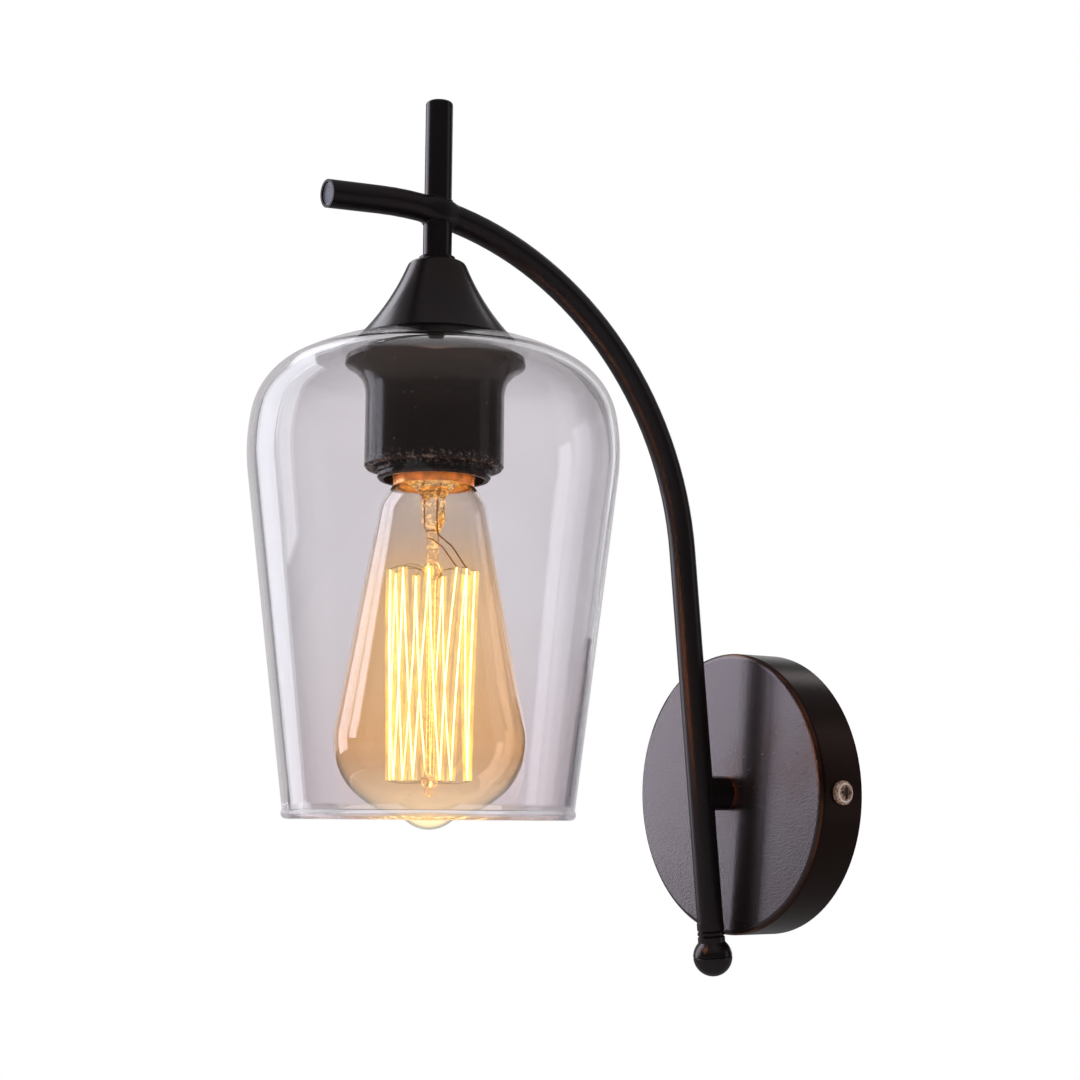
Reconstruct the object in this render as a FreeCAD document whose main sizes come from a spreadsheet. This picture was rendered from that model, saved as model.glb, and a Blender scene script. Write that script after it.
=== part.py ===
import FreeCAD, Part
import math
import os
import re
import Sketcher

# A wall sconce: a round canopy on the wall, a bent tube arm, and a lampholder with a glass
# shade and a bulb that hang from a stem near the arm's end.
# The origin is the canopy's axis on the wall, -Y points out into the room and +Z up.
# Lengths are millimetres and angles degrees.

SIZES = {
    # Canopy, the pressed steel cup on the wall
    "canopy_radius": 51.0,
    "canopy_depth": 19.0,
    "canopy_wall": 1.0,
    "canopy_round": 2.0,
    # Bracket, the strip behind the canopy that the wall screws hold
    "bracket_width": 18.0,
    "bracket_sheet": 1.5,
    "bracket_bend": 1.5,
    "bracket_rise": 14.5,
    "bracket_gap": 0.3,
    "slot_spacing": 60.0,
    "slot_length": 14.0,
    "slot_width": 5.0,
    "ground_offset": 14.0,
    # Machine screws in the canopy's side and for the earth lead
    "screw_radius": 2.0,
    "screw_length": 8.0,
    "screw_head": 4.2,
    "screw_head_height": 2.4,
    "screw_depth": 9.5,
    "recess_width": 1.1,
    "recess_length": 4.6,
    "recess_depth": 1.3,
    "thread_gap": 0.05,
    "hole_gap": 0.3,
    # Stub between canopy and arm
    "stub_radius": 6.25,
    "stub_thread": 5.0,
    # Hollow threaded nipples and their nuts
    "nipple_radius": 3.95,
    "nipple_bore": 2.9,
    "nipple_tail": 1.2,
    "nut_flats": 12.0,
    "nut_height": 2.5,
    "washer_radius": 8.0,
    "washer_height": 0.8,
    # Arm, a steel tube
    "arm_radius": 4.75,
    "arm_wall": 0.9,
    "arm_offset": 30.9,
    "arm_lean": 5.3,
    "arm_foot": 46.6,
    "arm_straight": 87.3,
    "arm_bend": 120.7,
    "arm_droop": 4.7,
    "arm_tip": 20.0,
    "wire_hole": 3.0,
    "plug_height": 2.0,
    "plug_recess": 0.6,
    # Ball finial at the arm's foot
    "ball_radius": 7.05,
    "ball_seam": 0.25,
    "neck_radius": 4.9,
    "neck_height": 11.9,
    "groove_depth": 0.5,
    "groove_width": 0.8,
    "groove_first": 7.3,
    "groove_step": 1.7,
    "spigot_length": 7.0,
    # Upright rod and stem that cross the arm
    "stem_reach": 146.0,
    "rod_radius": 4.7,
    "rod_height": 39.2,
    "rod_round": 0.9,
    "rod_lid": 3.0,
    "stem_radius": 4.95,
    "collar_drop": 16.0,
    "collar_radius": 6.15,
    "collar_height": 1.2,
    "stem_thread": 8.0,
    # Cone over the lampholder, spun from sheet
    "cone_radius": 27.0,
    "cone_curve": 86.0,
    "cone_flare": 43.2,
    "cone_neck": 22.4,
    "cone_round": 2.5,
    "cone_crown": 0.6,
    "cone_wall": 1.0,
    # Glass shade
    "glass_radius": 62.5,
    "glass_wall": 2.5,
    "glass_drop": 120.5,
    "glass_neck": 21.5,
    "dome_curve": 86.0,
    "dome_angle": 62.4,
    "shoulder_curve": 25.4,
    "swell_angle": 10.8,
    "swell_curve": 66.5,
    "taper_angle": 7.2,
    "bead_radius": 1.8,
    "seat_gap": 0.3,
    # Shade ring, the flared skirt that screws onto the lampholder
    "flange_radius": 30.9,
    "flange_height": 2.7,
    "flange_lip": 0.6,
    "flange_dish": 1.6,
    "ring_radius": 23.5,
    "ring_height": 39.8,
    "ring_flare": 13.8,
    "ring_edge": 0.7,
    "ring_chamfer": 1.2,
    # Lampholder
    "sleeve_radius": 19.7,
    "sleeve_show": 3.8,
    "sleeve_lip": 19.1,
    "sleeve_groove": 18.5,
    "sleeve_wall": 2.7,
    "sleeve_flange": 23.0,
    "sleeve_flange_height": 1.3,
    "rib_height": 1.6,
    "rib_gap": 0.8,
    "lug_width": 6.0,
    "lug_height": 3.0,
    "lug_reach": 1.3,
    "lug_turn": 55.0,
    "cap_side": 3.0,
    "cap_slope": 7.0,
    "cap_shoulder": 12.5,
    "cap_boss": 8.0,
    "cap_boss_height": 2.5,
    "cap_wall": 2.0,
    "insert_height": 9.0,
    "insert_gap": 0.2,
    "ledge": 1.6,
    "ledge_height": 4.0,
    "shell_wall": 0.4,
    "shell_gap": 0.4,
    "shell_hole": 7.0,
    "shell_inset": 0.9,
    "spring_width": 4.0,
    "spring_span": 5.5,
    "spring_foot": 3.0,
    "spring_sheet": 0.4,
    "terminal_offset": 8.0,
    "terminal_size": 5.0,
    "terminal_head": 2.2,
    "terminal_head_height": 1.2,
    "terminal_depth": 3.0,
    # Bulb with a 27 mm screw cap
    "bulb_show": 2.0,
    "bulb_cap_radius": 13.15,
    "bulb_cap_wall": 0.3,
    "bulb_cap_length": 20.5,
    "bulb_cap_skirt": 13.75,
    "skirt_height": 2.6,
    "insulator_radius": 11.0,
    "insulator_height": 3.8,
    "contact_radius": 4.8,
    "contact_height": 2.0,
    "contact_gap": 0.3,
    "spring_height": 1.7,
    "bulb_radius": 32.0,
    "bulb_length": 140.3,
    "bulb_widest": 111.0,
    "bulb_neck": 13.4,
    "bulb_shoulder": 18.6,
    "neck_curve": 17.0,
    "bulb_taper": 10.6,
    "belly_curve": 24.0,
    "belly_angle": 50.0,
    "base_curve": 37.0,
    "pip_radius": 8.0,
    "pip_height": 3.2,
    "bulb_wall": 0.8,
    "press_radius": 5.0,
    "press_flare": 4.5,
    "press_tip": 4.2,
    "press_length": 14.0,
    "post_radius": 1.6,
    "button_radius": 3.2,
    "button_height": 3.0,
    "cage_top": 55.0,
    "cage_height": 69.3,
    "cage_top_radius": 14.2,
    "cage_low_radius": 13.3,
    "cage_turn": 342.0,
    "cage_start": 20.0,
    "post_tail": 6.0,
    "hook_radius": 0.35,
    "filament_radius": 0.4,
    # Leads and the connector inside the canopy
    "lead_radius": 0.9,
    "lead_spread": 1.15,
    "lead_bend": 3.0,
    "lead_depth": 10.4,
    "block_width": 16.0,
    "block_length": 17.0,
    "block_height": 13.5,
    "block_lift": 16.5,
    "block_round": 1.5,
    "pole_offset": 4.0,
    "pole_radius": 1.95,
    "pole_bore": 1.2,
    "well_radius": 1.7,
    "pole_screw": 1.5,
    "pole_screw_sink": 1.5,
    "lead_entry": 6.0,
}

# How many strands the bulb's filament has between its upper and lower hooks
STRANDS = 18

# How many sides a nut, a thin wire, a lead and the glass's rolled rim are drawn with
NUT_SIDES = 6
WIRE_SIDES = 6
LEAD_SIDES = 8
BEAD_SIDES = 8

# Places that follow from the sizes. Heights of the hanging pieces count from where the
# stem's axis meets the arm's, and depths of the wall pieces from the wall.
PLACES = {
    "canopy_inside": "canopy_depth - canopy_wall",
    "tab_outside": "sqrt((canopy_radius - canopy_wall)^2 - bracket_width^2 / 4) - bracket_gap",
    "tab_inside": "tab_outside - bracket_sheet",
    "bend_outside": "bracket_bend + bracket_sheet",
    "bend_start": "tab_outside - bend_outside",
    "nut_top": "canopy_inside - washer_height",
    "nipple_end": "nut_top - nut_height - nipple_tail",
    "arm_inside": "arm_radius - arm_wall",
    "bend_y": "0 - arm_offset - arm_straight * sin(arm_lean) - arm_bend * cos(arm_lean)",
    "bend_z": "arm_straight * cos(arm_lean) - arm_bend * sin(arm_lean)",
    "arm_end": "90 + arm_droop",
    "tip_y": "bend_y + arm_bend * cos(arm_end) - arm_tip * sin(arm_end)",
    "tip_z": "bend_z + arm_bend * sin(arm_end) + arm_tip * cos(arm_end)",
    "cross_z": "bend_z + sqrt(arm_bend^2 - (stem_reach + bend_y)^2)",
    "ball_drop": "arm_foot + neck_height",
    "collar_bottom": "0 - collar_drop - collar_height",
    "stem_bore": "nipple_radius + thread_gap",
    "nipple_hole": "nipple_radius + hole_gap",
    "crown_bottom": "collar_bottom - cone_crown - cone_wall",
    "round_mid": "collar_bottom - cone_crown - cone_round",
    "side_top": "round_mid + cone_round * sin(cone_neck)",
    "flare_mid": "side_top + cone_curve * sin(cone_neck)",
    "cone_bottom": "flare_mid - cone_curve * sin(cone_flare)",
    "flare_axis": "cone_radius + cone_curve * cos(cone_flare)",
    "side_radius": "flare_axis - cone_curve * cos(cone_neck)",
    "round_axis": "side_radius - cone_round * cos(cone_neck)",
    "cone_inner": "flare_axis - sqrt((cone_curve + cone_wall)^2 - (flare_mid - cone_bottom)^2)",
    "swell_axis": "glass_radius - swell_curve",
    "shoulder_axis": "swell_axis + (swell_curve - shoulder_curve) * cos(swell_angle)",
    "dome_axis": "shoulder_axis - (dome_curve - shoulder_curve) * cos(dome_angle)",
    "dome_mid": "cone_bottom - seat_gap - sqrt(dome_curve^2 - (cone_radius - dome_axis)^2)",
    "shoulder_mid": "dome_mid + (dome_curve - shoulder_curve) * sin(dome_angle)",
    "swell_mid": "shoulder_mid - (swell_curve - shoulder_curve) * sin(swell_angle)",
    "rim_mid": "swell_mid - glass_drop",
    "taper_run": "glass_drop - swell_curve * sin(taper_angle)",
    "rim_radius": "swell_axis + swell_curve * cos(taper_angle) - taper_run * tan(taper_angle)",
    "inner_dome": "dome_curve - glass_wall",
    "neck_top": "dome_mid + sqrt(dome_curve^2 - (glass_neck - dome_axis)^2)",
    "flange_top": "dome_mid + sqrt(inner_dome^2 - (flange_radius - dome_axis)^2) - seat_gap",
    "ring_bottom": "flange_top - ring_height",
    "flare_end": "flange_radius - flange_lip",
    "flare_step": "ring_flare - (flare_end - ring_radius)",
    "flare_rise": "sqrt(ring_flare^2 - flare_step^2)",
    "flare_start": "flange_top - flange_height - flange_lip - flare_rise",
    "ring_bore": "sleeve_radius + seat_gap",
    "sleeve_bottom": "ring_bottom - sleeve_show",
    "sleeve_bore": "sleeve_radius - sleeve_wall",
    "sleeve_seat": "neck_top + seat_gap",
    "sleeve_top": "sleeve_seat + sleeve_flange_height",
    "cap_top": "sleeve_top + cap_side + cap_slope + cap_boss_height",
    "cap_inside": "cap_top - cap_boss_height - cap_wall",
    "terminal_top": "insert_top + terminal_size",
    "cap_edge": "sleeve_bottom - bulb_show",
    "thread_top": "cap_edge + bulb_cap_length",
    "contact_base": "thread_top + insulator_height",
    "contact_top": "contact_base + contact_height",
    "insert_bottom": "contact_top + contact_gap + spring_height",
    "insert_top": "insert_bottom + insert_height",
    "shell_bore": "bulb_cap_radius + shell_gap",
    "shell_outside": "shell_bore + shell_wall",
    "bulb_top": "cap_edge + skirt_height",
    "belly_mid": "contact_top - bulb_widest",
    "belly_axis": "bulb_radius - belly_curve",
    "taper_side": "belly_axis + belly_curve * cos(bulb_taper)",
    "taper_low": "belly_mid + belly_curve * sin(bulb_taper)",
    "taper_high": "taper_low + (taper_side - bulb_shoulder) / tan(bulb_taper)",
    "bulb_tip": "contact_top - bulb_length",
    "pip_curve": "(pip_radius^2 + pip_height^2) / (2 * pip_height)",
    "neck_fit": "bulb_cap_radius - bulb_cap_wall - thread_gap",
    "press_end": "cap_edge - press_length",
    "hooks_high": "contact_top - cage_top",
    "hooks_low": "hooks_high - cage_height",
    "block_face": "canopy_inside - block_height",
}

doc = FreeCAD.newDocument("PendantSconce")
sheet = doc.addObject("Spreadsheet::Sheet", "Sizes")
finished = []


def vector(x, y, z=0.0):
    return FreeCAD.Vector(x, y, z)


def fill_sheet():
    """Give every driving dimension its own named cell."""
    for row, (name, size) in enumerate(SIZES.items(), start=1):
        sheet.set("A%d" % row, name)
        sheet.set("B%d" % row, str(size))
        sheet.setAlias("B%d" % row, name)
    doc.recompute()


def bound(text):
    """Write a formula of sizes and places out in cells of the sheet."""
    def cell(match):
        word = match.group(0)
        if word in PLACES:
            return "(" + bound(PLACES[word]) + ")"
        if word in SIZES:
            return "Sizes." + word
        return word
    return re.sub(r"[a-z][a-z_]*", cell, text)


def value(text):
    return float(sheet.evalExpression(bound(text)))


def bind(thing, **formulas):
    """Tie properties to formulas. Two underscores in a name stand for a dot."""
    for name, text in formulas.items():
        thing.setExpression(name.replace("__", "."), bound(text))


def finish(thing, label):
    """Name a sub-part and put it on the list of those that are written."""
    thing.Label = label
    finished.append(thing)
    return thing


def new_body(name):
    return doc.addObject("PartDesign::Body", name)


def new_sketch(body, name, plane):
    sketch = body.newObject("Sketcher::SketchObject", name)
    base = [item for item in body.Origin.OriginFeatures if item.Role == plane][0]
    sketch.AttachmentSupport = [(base, "")]
    sketch.MapMode = "FlatFace"
    return sketch


def pin_point(sketch, index, end, x, y):
    """Hold one end of a curve at a place given by two formulas."""
    across = sketch.addConstraint(Sketcher.Constraint("DistanceX", -1, 1, index, end, value(x)))
    sketch.setExpression("Constraints[%d]" % across, bound(x))
    up = sketch.addConstraint(Sketcher.Constraint("DistanceY", -1, 1, index, end, value(y)))
    sketch.setExpression("Constraints[%d]" % up, bound(y))


def add_arc(sketch, start, end, bulge, text):
    """Add a short arc that turns left for a bulge of 1 and right for -1."""
    radius = value(text)
    half = (end - start) * 0.5
    rise = math.sqrt(max(radius ** 2 - half.Length ** 2, 0.0))
    side = vector(-half.y, half.x)
    side.normalize()
    centre = start + half + side * (rise * bulge)
    first, last = (start, end) if bulge > 0 else (end, start)
    angles = [math.atan2((spot - centre).y, (spot - centre).x) for spot in (first, last)]
    circle = Part.Circle(centre, vector(0, 0, 1), radius)
    index = sketch.addGeometry(Part.ArcOfCircle(circle, *angles), False)
    size = sketch.addConstraint(Sketcher.Constraint("Radius", index, radius))
    sketch.setExpression("Constraints[%d]" % size, bound(text))
    return index


def draw(sketch, points, closed=True):
    """Draw lines and arcs through points, each an (x, y) pair of formulas.

    A third entry makes the stretch that ends there an arc of that radius,
    which turns left, or right where the formula follows the word right.
    """
    spots = [vector(value(point[0]), value(point[1])) for point in points]
    count = len(points) if closed else len(points) - 1
    curves = []
    for number in range(count):
        target = (number + 1) % len(points)
        start, end = spots[number], spots[target]
        if len(points[target]) == 2:
            index = sketch.addGeometry(Part.LineSegment(start, end), False)
            curves.append((index, 1, 2))
            continue
        turn, _, radius = points[target][2].partition(" ")
        bulge = -1 if turn == "right" else 1
        index = add_arc(sketch, start, end, bulge, radius)
        curves.append((index, 1, 2) if bulge > 0 else (index, 2, 1))
    for number, (index, first, last) in enumerate(curves):
        pin_point(sketch, index, first, *points[number][:2])
        if closed or number + 1 < count:
            following = curves[(number + 1) % count]
            sketch.addConstraint(
                Sketcher.Constraint("Coincident", index, last, following[0], following[1]))
    if not closed:
        pin_point(sketch, curves[-1][0], curves[-1][2], *points[-1][:2])


def draw_circle(sketch, x, y, radius):
    centre = vector(value(x), value(y))
    circle = Part.Circle(centre, vector(0, 0, 1), value(radius))
    index = sketch.addGeometry(circle, False)
    size = sketch.addConstraint(Sketcher.Constraint("Radius", index, value(radius)))
    sketch.setExpression("Constraints[%d]" % size, bound(radius))
    pin_point(sketch, index, 3, x, y)


def draw_box(sketch, x, y, width, height):
    """Draw a rectangle about a centre."""
    left, right = "%s - %s / 2" % (x, width), "%s + %s / 2" % (x, width)
    low, high = "%s - %s / 2" % (y, height), "%s + %s / 2" % (y, height)
    draw(sketch, [(left, low), (right, low), (right, high), (left, high)])


def lathe(body, points, name="Outline"):
    """Turn an outline of radii and heights about the body's own Z axis."""
    sketch = new_sketch(body, name, "XZ_Plane")
    draw(sketch, points)
    turning = body.newObject("PartDesign::Revolution", "Turned")
    turning.Profile = sketch
    turning.ReferenceAxis = (sketch, ["V_Axis"])
    turning.Angle = 360
    return turning


def pad(body, sketch, height, middle=False):
    raised = body.newObject("PartDesign::Pad", "Raised")
    raised.Profile = sketch
    raised.Midplane = middle
    bind(raised, Length=height)
    return raised


def pocket(body, sketch, depth, middle=False, away=False):
    """Cut a sketch into the body and make sure that it took something away."""
    doc.recompute()
    before = body.Shape.Volume
    cut = body.newObject("PartDesign::Pocket", "Cut")
    cut.Profile = sketch
    cut.Midplane = middle
    cut.Reversed = away
    bind(cut, Length=depth)
    doc.recompute()
    if body.Shape.Volume >= before:
        raise ValueError(body.Name + " has a cut that misses it")
    return cut


def on_wall(thing):
    """Turn a piece so that its own Z axis points out of the wall and its Y axis up."""
    thing.Placement = FreeCAD.Placement(vector(0, 0), FreeCAD.Rotation(vector(1, 0, 0), 90))


def hang(thing):
    """Put a piece's origin where the stem's axis meets the arm's."""
    bind(thing, Placement__Base__y="0 - stem_reach", Placement__Base__z="cross_z")


def ride_arm(thing, y, z, heading):
    """Put a piece on the arm with its own Z axis along the tube."""
    thing.Placement = FreeCAD.Placement(
        vector(0, value(y), value(z)), FreeCAD.Rotation(vector(1, 0, 0), value(heading)))
    bind(thing, Placement__Base__y=y, Placement__Base__z=z, Placement__Rotation__Angle=heading)


def boolean(kind, name, base, tool):
    result = doc.addObject(kind, name)
    result.Base = base
    result.Tool = tool
    return result


def group(name, links):
    """Join separate equal solids into one node."""
    compound = doc.addObject("Part::Compound", name)
    compound.Links = links
    return finish(compound, name)


def turned_piece(label, points, place=None):
    body = new_body(label)
    lathe(body, points)
    if place:
        place(body)
    return finish(body, label)


def ring_points(inner, outer, low, high):
    """Give the section of a plain ring."""
    return [(inner, low), (outer, low), (outer, high), (inner, high)]


def polygon_points(x, y, radius, sides):
    """Give the corners of an even polygon about a centre."""
    turns = ["(360 * %d / %d)" % (number, sides) for number in range(sides)]
    return [("%s + %s * cos%s" % (x, radius, turn), "%s + %s * sin%s" % (y, radius, turn))
            for turn in turns]


def make_bracket():
    """Bend a strip into a shallow U, with slots for the wall and tapped tabs."""
    body = new_body("wall_bracket")
    section = new_sketch(body, "Strip", "XZ_Plane")
    draw(section, [
        ("0 - bend_start", "0", "left bend_outside"),
        ("bend_start", "0"),
        ("tab_outside", "bend_outside", "left bend_outside"),
        ("tab_outside", "bracket_rise"),
        ("tab_inside", "bracket_rise"),
        ("tab_inside", "bend_outside"),
        ("bend_start", "bracket_sheet", "right bracket_bend"),
        ("0 - bend_start", "bracket_sheet"),
        ("0 - tab_inside", "bend_outside", "right bracket_bend"),
        ("0 - tab_inside", "bracket_rise"),
        ("0 - tab_outside", "bracket_rise"),
        ("0 - tab_outside", "bend_outside"),
    ])
    pad(body, section, "bracket_width", middle=True)
    for side in ("0 - slot_spacing / 2", "slot_spacing / 2"):
        cut_slot(body, side)
    taps = new_sketch(body, "Taps", "YZ_Plane")
    draw_circle(taps, "0", "screw_depth", "screw_radius + thread_gap")
    pocket(body, taps, "2 * canopy_radius", middle=True)
    ground = new_sketch(body, "Ground", "XY_Plane")
    draw_circle(ground, "0 - ground_offset", "0", "screw_radius + thread_gap")
    pocket(body, ground, "bracket_sheet", away=True)
    on_wall(body)
    finish(body, "wall_bracket")


def cut_slot(body, middle):
    """Cut a round-ended slot for a wall screw through the strip."""
    slot = new_sketch(body, "Slot", "XY_Plane")
    half = "slot_width / 2"
    left = "%s - (slot_length / 2 - %s)" % (middle, half)
    right = "%s + (slot_length / 2 - %s)" % (middle, half)
    turn = "left " + half
    draw(slot, [
        (left, "0 - " + half, turn),
        (right, "0 - " + half),
        ("%s + slot_length / 2" % middle, "0", turn),
        (right, half, turn),
        (left, half),
        ("%s - slot_length / 2" % middle, "0", turn),
    ])
    pocket(body, slot, "bracket_sheet", away=True)


def screw_body(name, length):
    """Turn a pan-head screw, its head up from the origin, with a cross recess."""
    body = new_body(name)
    lathe(body, [
        ("0", "0 - (%s)" % length),
        ("screw_radius", "0 - (%s)" % length),
        ("screw_radius", "0"),
        ("screw_head", "0"),
        ("screw_head", "screw_head_height / 2"),
        ("screw_head / 2", "screw_head_height", "left screw_head"),
        ("0", "screw_head_height"),
    ])
    for width, length in (("recess_width", "recess_length"), ("recess_length", "recess_width")):
        cross = new_sketch(body, "Recess", "XY_Plane")
        bind(cross, AttachmentOffset__Base__z="screw_head_height")
        draw_box(cross, "0", "0", width, length)
        pocket(body, cross, "recess_depth")
    return body


def make_canopy_screws():
    """Put a screw through each side of the canopy into the bracket's tab."""
    screws = []
    for turn in (90, -90):
        body = screw_body("Screw", "screw_length")
        body.Placement = FreeCAD.Placement(
            vector(0, 0), FreeCAD.Rotation(vector(0, 1, 0), turn))
        side = "canopy_radius" if turn > 0 else "0 - canopy_radius"
        bind(body, Placement__Base__x=side, Placement__Base__y="0 - screw_depth")
        screws.append(body)
    group("canopy_side_screws", screws)


def make_ground_screw():
    body = screw_body("ground_screw", "bracket_sheet + washer_height")
    on_wall(body)
    bind(body, Placement__Base__x="0 - ground_offset",
         Placement__Base__y="0 - bracket_sheet - washer_height")
    washer = new_body("Washer")
    lathe(washer, ring_points("screw_radius + thread_gap", "screw_head + washer_height",
                              "bracket_sheet", "bracket_sheet + washer_height"))
    on_wall(washer)
    bind(washer, Placement__Base__x="0 - ground_offset")
    finish(body, "ground_screw")
    finish(washer, "ground_washer")


def make_canopy():
    """Press the cup, with a hole for the nipple and one in each side for a screw."""
    body = new_body("canopy")
    lathe(body, [
        ("canopy_radius - canopy_wall", "0"),
        ("canopy_radius", "0"),
        ("canopy_radius", "canopy_depth - canopy_round"),
        ("canopy_radius - canopy_round", "canopy_depth", "left canopy_round"),
        ("nipple_hole", "canopy_depth"),
        ("nipple_hole", "canopy_inside"),
        ("canopy_radius - canopy_round", "canopy_inside"),
        ("canopy_radius - canopy_wall", "canopy_depth - canopy_round"),
    ])
    sides = new_sketch(body, "Sides", "YZ_Plane")
    draw_circle(sides, "0", "screw_depth", "screw_radius + hole_gap")
    pocket(body, sides, "3 * canopy_radius", middle=True)
    on_wall(body)
    finish(body, "canopy")


def nut_body(name, low):
    """Make a hexagon nut that stands on a given height."""
    body = new_body(name)
    plan = new_sketch(body, "Hexagon", "XY_Plane")
    bind(plan, AttachmentOffset__Base__z=low)
    draw(plan, polygon_points("0", "0", "nut_flats / sqrt(3)", NUT_SIDES))
    draw_circle(plan, "0", "0", "nipple_radius + thread_gap")
    pad(body, plan, "nut_height")
    return body


def make_stub():
    """Join the canopy to the arm with a boss, a nipple, a washer and a nut."""
    envelope = arm_pipe("ArmEnvelope", "arm_radius")
    boss = new_body("StubTurned")
    lathe(boss, [
        ("nipple_radius + thread_gap", "canopy_depth"),
        ("stub_radius", "canopy_depth"),
        ("stub_radius", "arm_offset"),
        ("wire_hole", "arm_offset"),
        ("wire_hole", "canopy_depth + stub_thread"),
        ("nipple_radius + thread_gap", "canopy_depth + stub_thread"),
    ])
    on_wall(boss)
    finish(boolean("Part::Cut", "Stub", boss, envelope), "arm_stub")
    turned_piece("stub_nipple", ring_points(
        "nipple_bore", "nipple_radius", "nipple_end", "canopy_depth + stub_thread"), on_wall)
    turned_piece("stub_washer", ring_points(
        "nipple_hole", "washer_radius", "nut_top", "canopy_inside"), on_wall)
    nut = nut_body("stub_nut", "nut_top - nut_height")
    on_wall(nut)
    finish(nut, "stub_nut")
    return envelope


def arm_path(body):
    """Draw the arm's centreline: a leaning run, one long bend and a short run."""
    path = new_sketch(body, "Path", "YZ_Plane")
    draw(path, [
        ("arm_foot * sin(arm_lean) - arm_offset", "0 - arm_foot * cos(arm_lean)"),
        ("0 - arm_offset - arm_straight * sin(arm_lean)", "arm_straight * cos(arm_lean)"),
        ("bend_y + arm_bend * cos(arm_end)", "bend_z + arm_bend * sin(arm_end)",
         "left arm_bend"),
        ("tip_y", "tip_z"),
    ], closed=False)
    return path


def arm_pipe(name, *radii):
    """Sweep one or two circles along the arm's centreline."""
    body = new_body(name)
    path = arm_path(body)
    section = new_sketch(body, "Section", "XY_Plane")
    section.AttachmentOffset = FreeCAD.Placement(
        vector(0, 0), FreeCAD.Rotation(vector(1, 0, 0), value("arm_lean")))
    bind(section, AttachmentOffset__Base__y="arm_foot * sin(arm_lean) - arm_offset",
         AttachmentOffset__Base__z="0 - arm_foot * cos(arm_lean)",
         AttachmentOffset__Rotation__Angle="arm_lean")
    for radius in radii:
        draw_circle(section, "0", "0", radius)
    doc.recompute()
    pipe = body.newObject("PartDesign::AdditivePipe", "Tube")
    pipe.Profile = section
    pipe.Spine = (path, ["Edge%d" % (number + 1) for number in range(len(path.Geometry))])
    doc.recompute()
    return body


def make_arm():
    """Sweep the tube and drill it for the leads, at the stub and over the stem."""
    body = arm_pipe("arm_tube", "arm_radius", "arm_inside")
    back = new_sketch(body, "Back", "XZ_Plane")
    bind(back, AttachmentOffset__Base__z="arm_offset")
    draw_circle(back, "0", "0", "wire_hole")
    pocket(body, back, "2 * arm_radius")
    under = new_sketch(body, "Under", "XY_Plane")
    bind(under, AttachmentOffset__Base__z="cross_z")
    draw_circle(under, "0", "0 - stem_reach", "wire_hole")
    pocket(body, under, "2 * arm_radius")
    finish(body, "arm_tube")


def make_arm_ends():
    """Close the arm's tip with a recessed plug and its foot with a ball finial."""
    plug = new_body("arm_tip_plug")
    lathe(plug, [
        ("0", "0 - plug_height - plug_recess"),
        ("arm_inside", "0 - plug_height - plug_recess"),
        ("arm_inside", "0 - plug_recess"),
        ("0", "0 - plug_recess"),
    ])
    ride_arm(plug, "tip_y", "tip_z", "arm_end")
    finish(plug, "arm_tip_plug")
    finial = new_body("ball_finial")
    lathe(finial, finial_points())
    for first in ("groove_first", "groove_first + groove_step"):
        cut_groove(finial, first, "neck_radius", "groove_depth", "groove_width")
    cut_groove(finial, "0", "ball_radius", "ball_seam", "2 * ball_seam")
    ride_arm(finial, "ball_drop * sin(arm_lean) - arm_offset",
             "0 - ball_drop * cos(arm_lean)", "arm_lean")
    finish(finial, "ball_finial")


def finial_points():
    """Give the ball, its neck and the spigot inside the tube, from the ball's centre."""
    meet = "sqrt(ball_radius^2 - neck_radius^2)"
    return [
        ("0", "0 - ball_radius"),
        ("ball_radius", "0", "left ball_radius"),
        ("neck_radius", meet, "left ball_radius"),
        ("neck_radius", "neck_height"),
        ("arm_inside", "neck_height"),
        ("arm_inside", "neck_height + spigot_length"),
        ("0", "neck_height + spigot_length"),
    ]


def cut_groove(body, height, radius, depth, width):
    """Turn a V groove into a round piece."""
    doc.recompute()
    before = body.Shape.Volume
    sketch = new_sketch(body, "Groove", "XZ_Plane")
    draw(sketch, [
        ("%s - %s" % (radius, depth), height),
        ("%s + %s" % (radius, depth), "%s - %s" % (height, width)),
        ("%s + %s" % (radius, depth), "%s + %s" % (height, width)),
    ])
    groove = body.newObject("PartDesign::Groove", "Grooved")
    groove.Profile = sketch
    groove.ReferenceAxis = (sketch, ["V_Axis"])
    groove.Angle = 360
    doc.recompute()
    if body.Shape.Volume >= before:
        raise ValueError(body.Name + " has a groove that misses it")


def make_stem(envelope):
    """Weld the rod onto the arm from above and the stem from below."""
    rod = new_body("RodTurned")
    lathe(rod, [
        ("rod_radius - arm_wall", "0"),
        ("rod_radius", "0"),
        ("rod_radius", "rod_height - rod_round"),
        ("rod_radius - rod_round", "rod_height", "left rod_round"),
        ("0", "rod_height"),
        ("0", "rod_height - rod_lid"),
        ("rod_radius - arm_wall", "rod_height - rod_lid"),
    ])
    hang(rod)
    finish(boolean("Part::Cut", "Rod", rod, envelope), "upper_rod")
    stem = new_body("StemTurned")
    lathe(stem, ring_points("0", "stem_radius", "0 - collar_drop", "0"))
    bore = new_body("StemBore")
    lathe(bore, ring_points("0", "stem_bore", "0 - 2 * collar_drop", "2 * collar_drop"))
    for body in (stem, bore):
        hang(body)
    saddle = boolean("Part::Cut", "Saddle", stem, envelope)
    finish(boolean("Part::Cut", "Stem", saddle, bore), "lower_stem")
    turned_piece("stem_collar", ring_points(
        "nipple_hole", "collar_radius", "collar_bottom", "0 - collar_drop"), hang)
    turned_piece("stem_nipple", ring_points(
        "nipple_bore", "nipple_radius", "cap_inside", "stem_thread - collar_drop"), hang)


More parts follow.
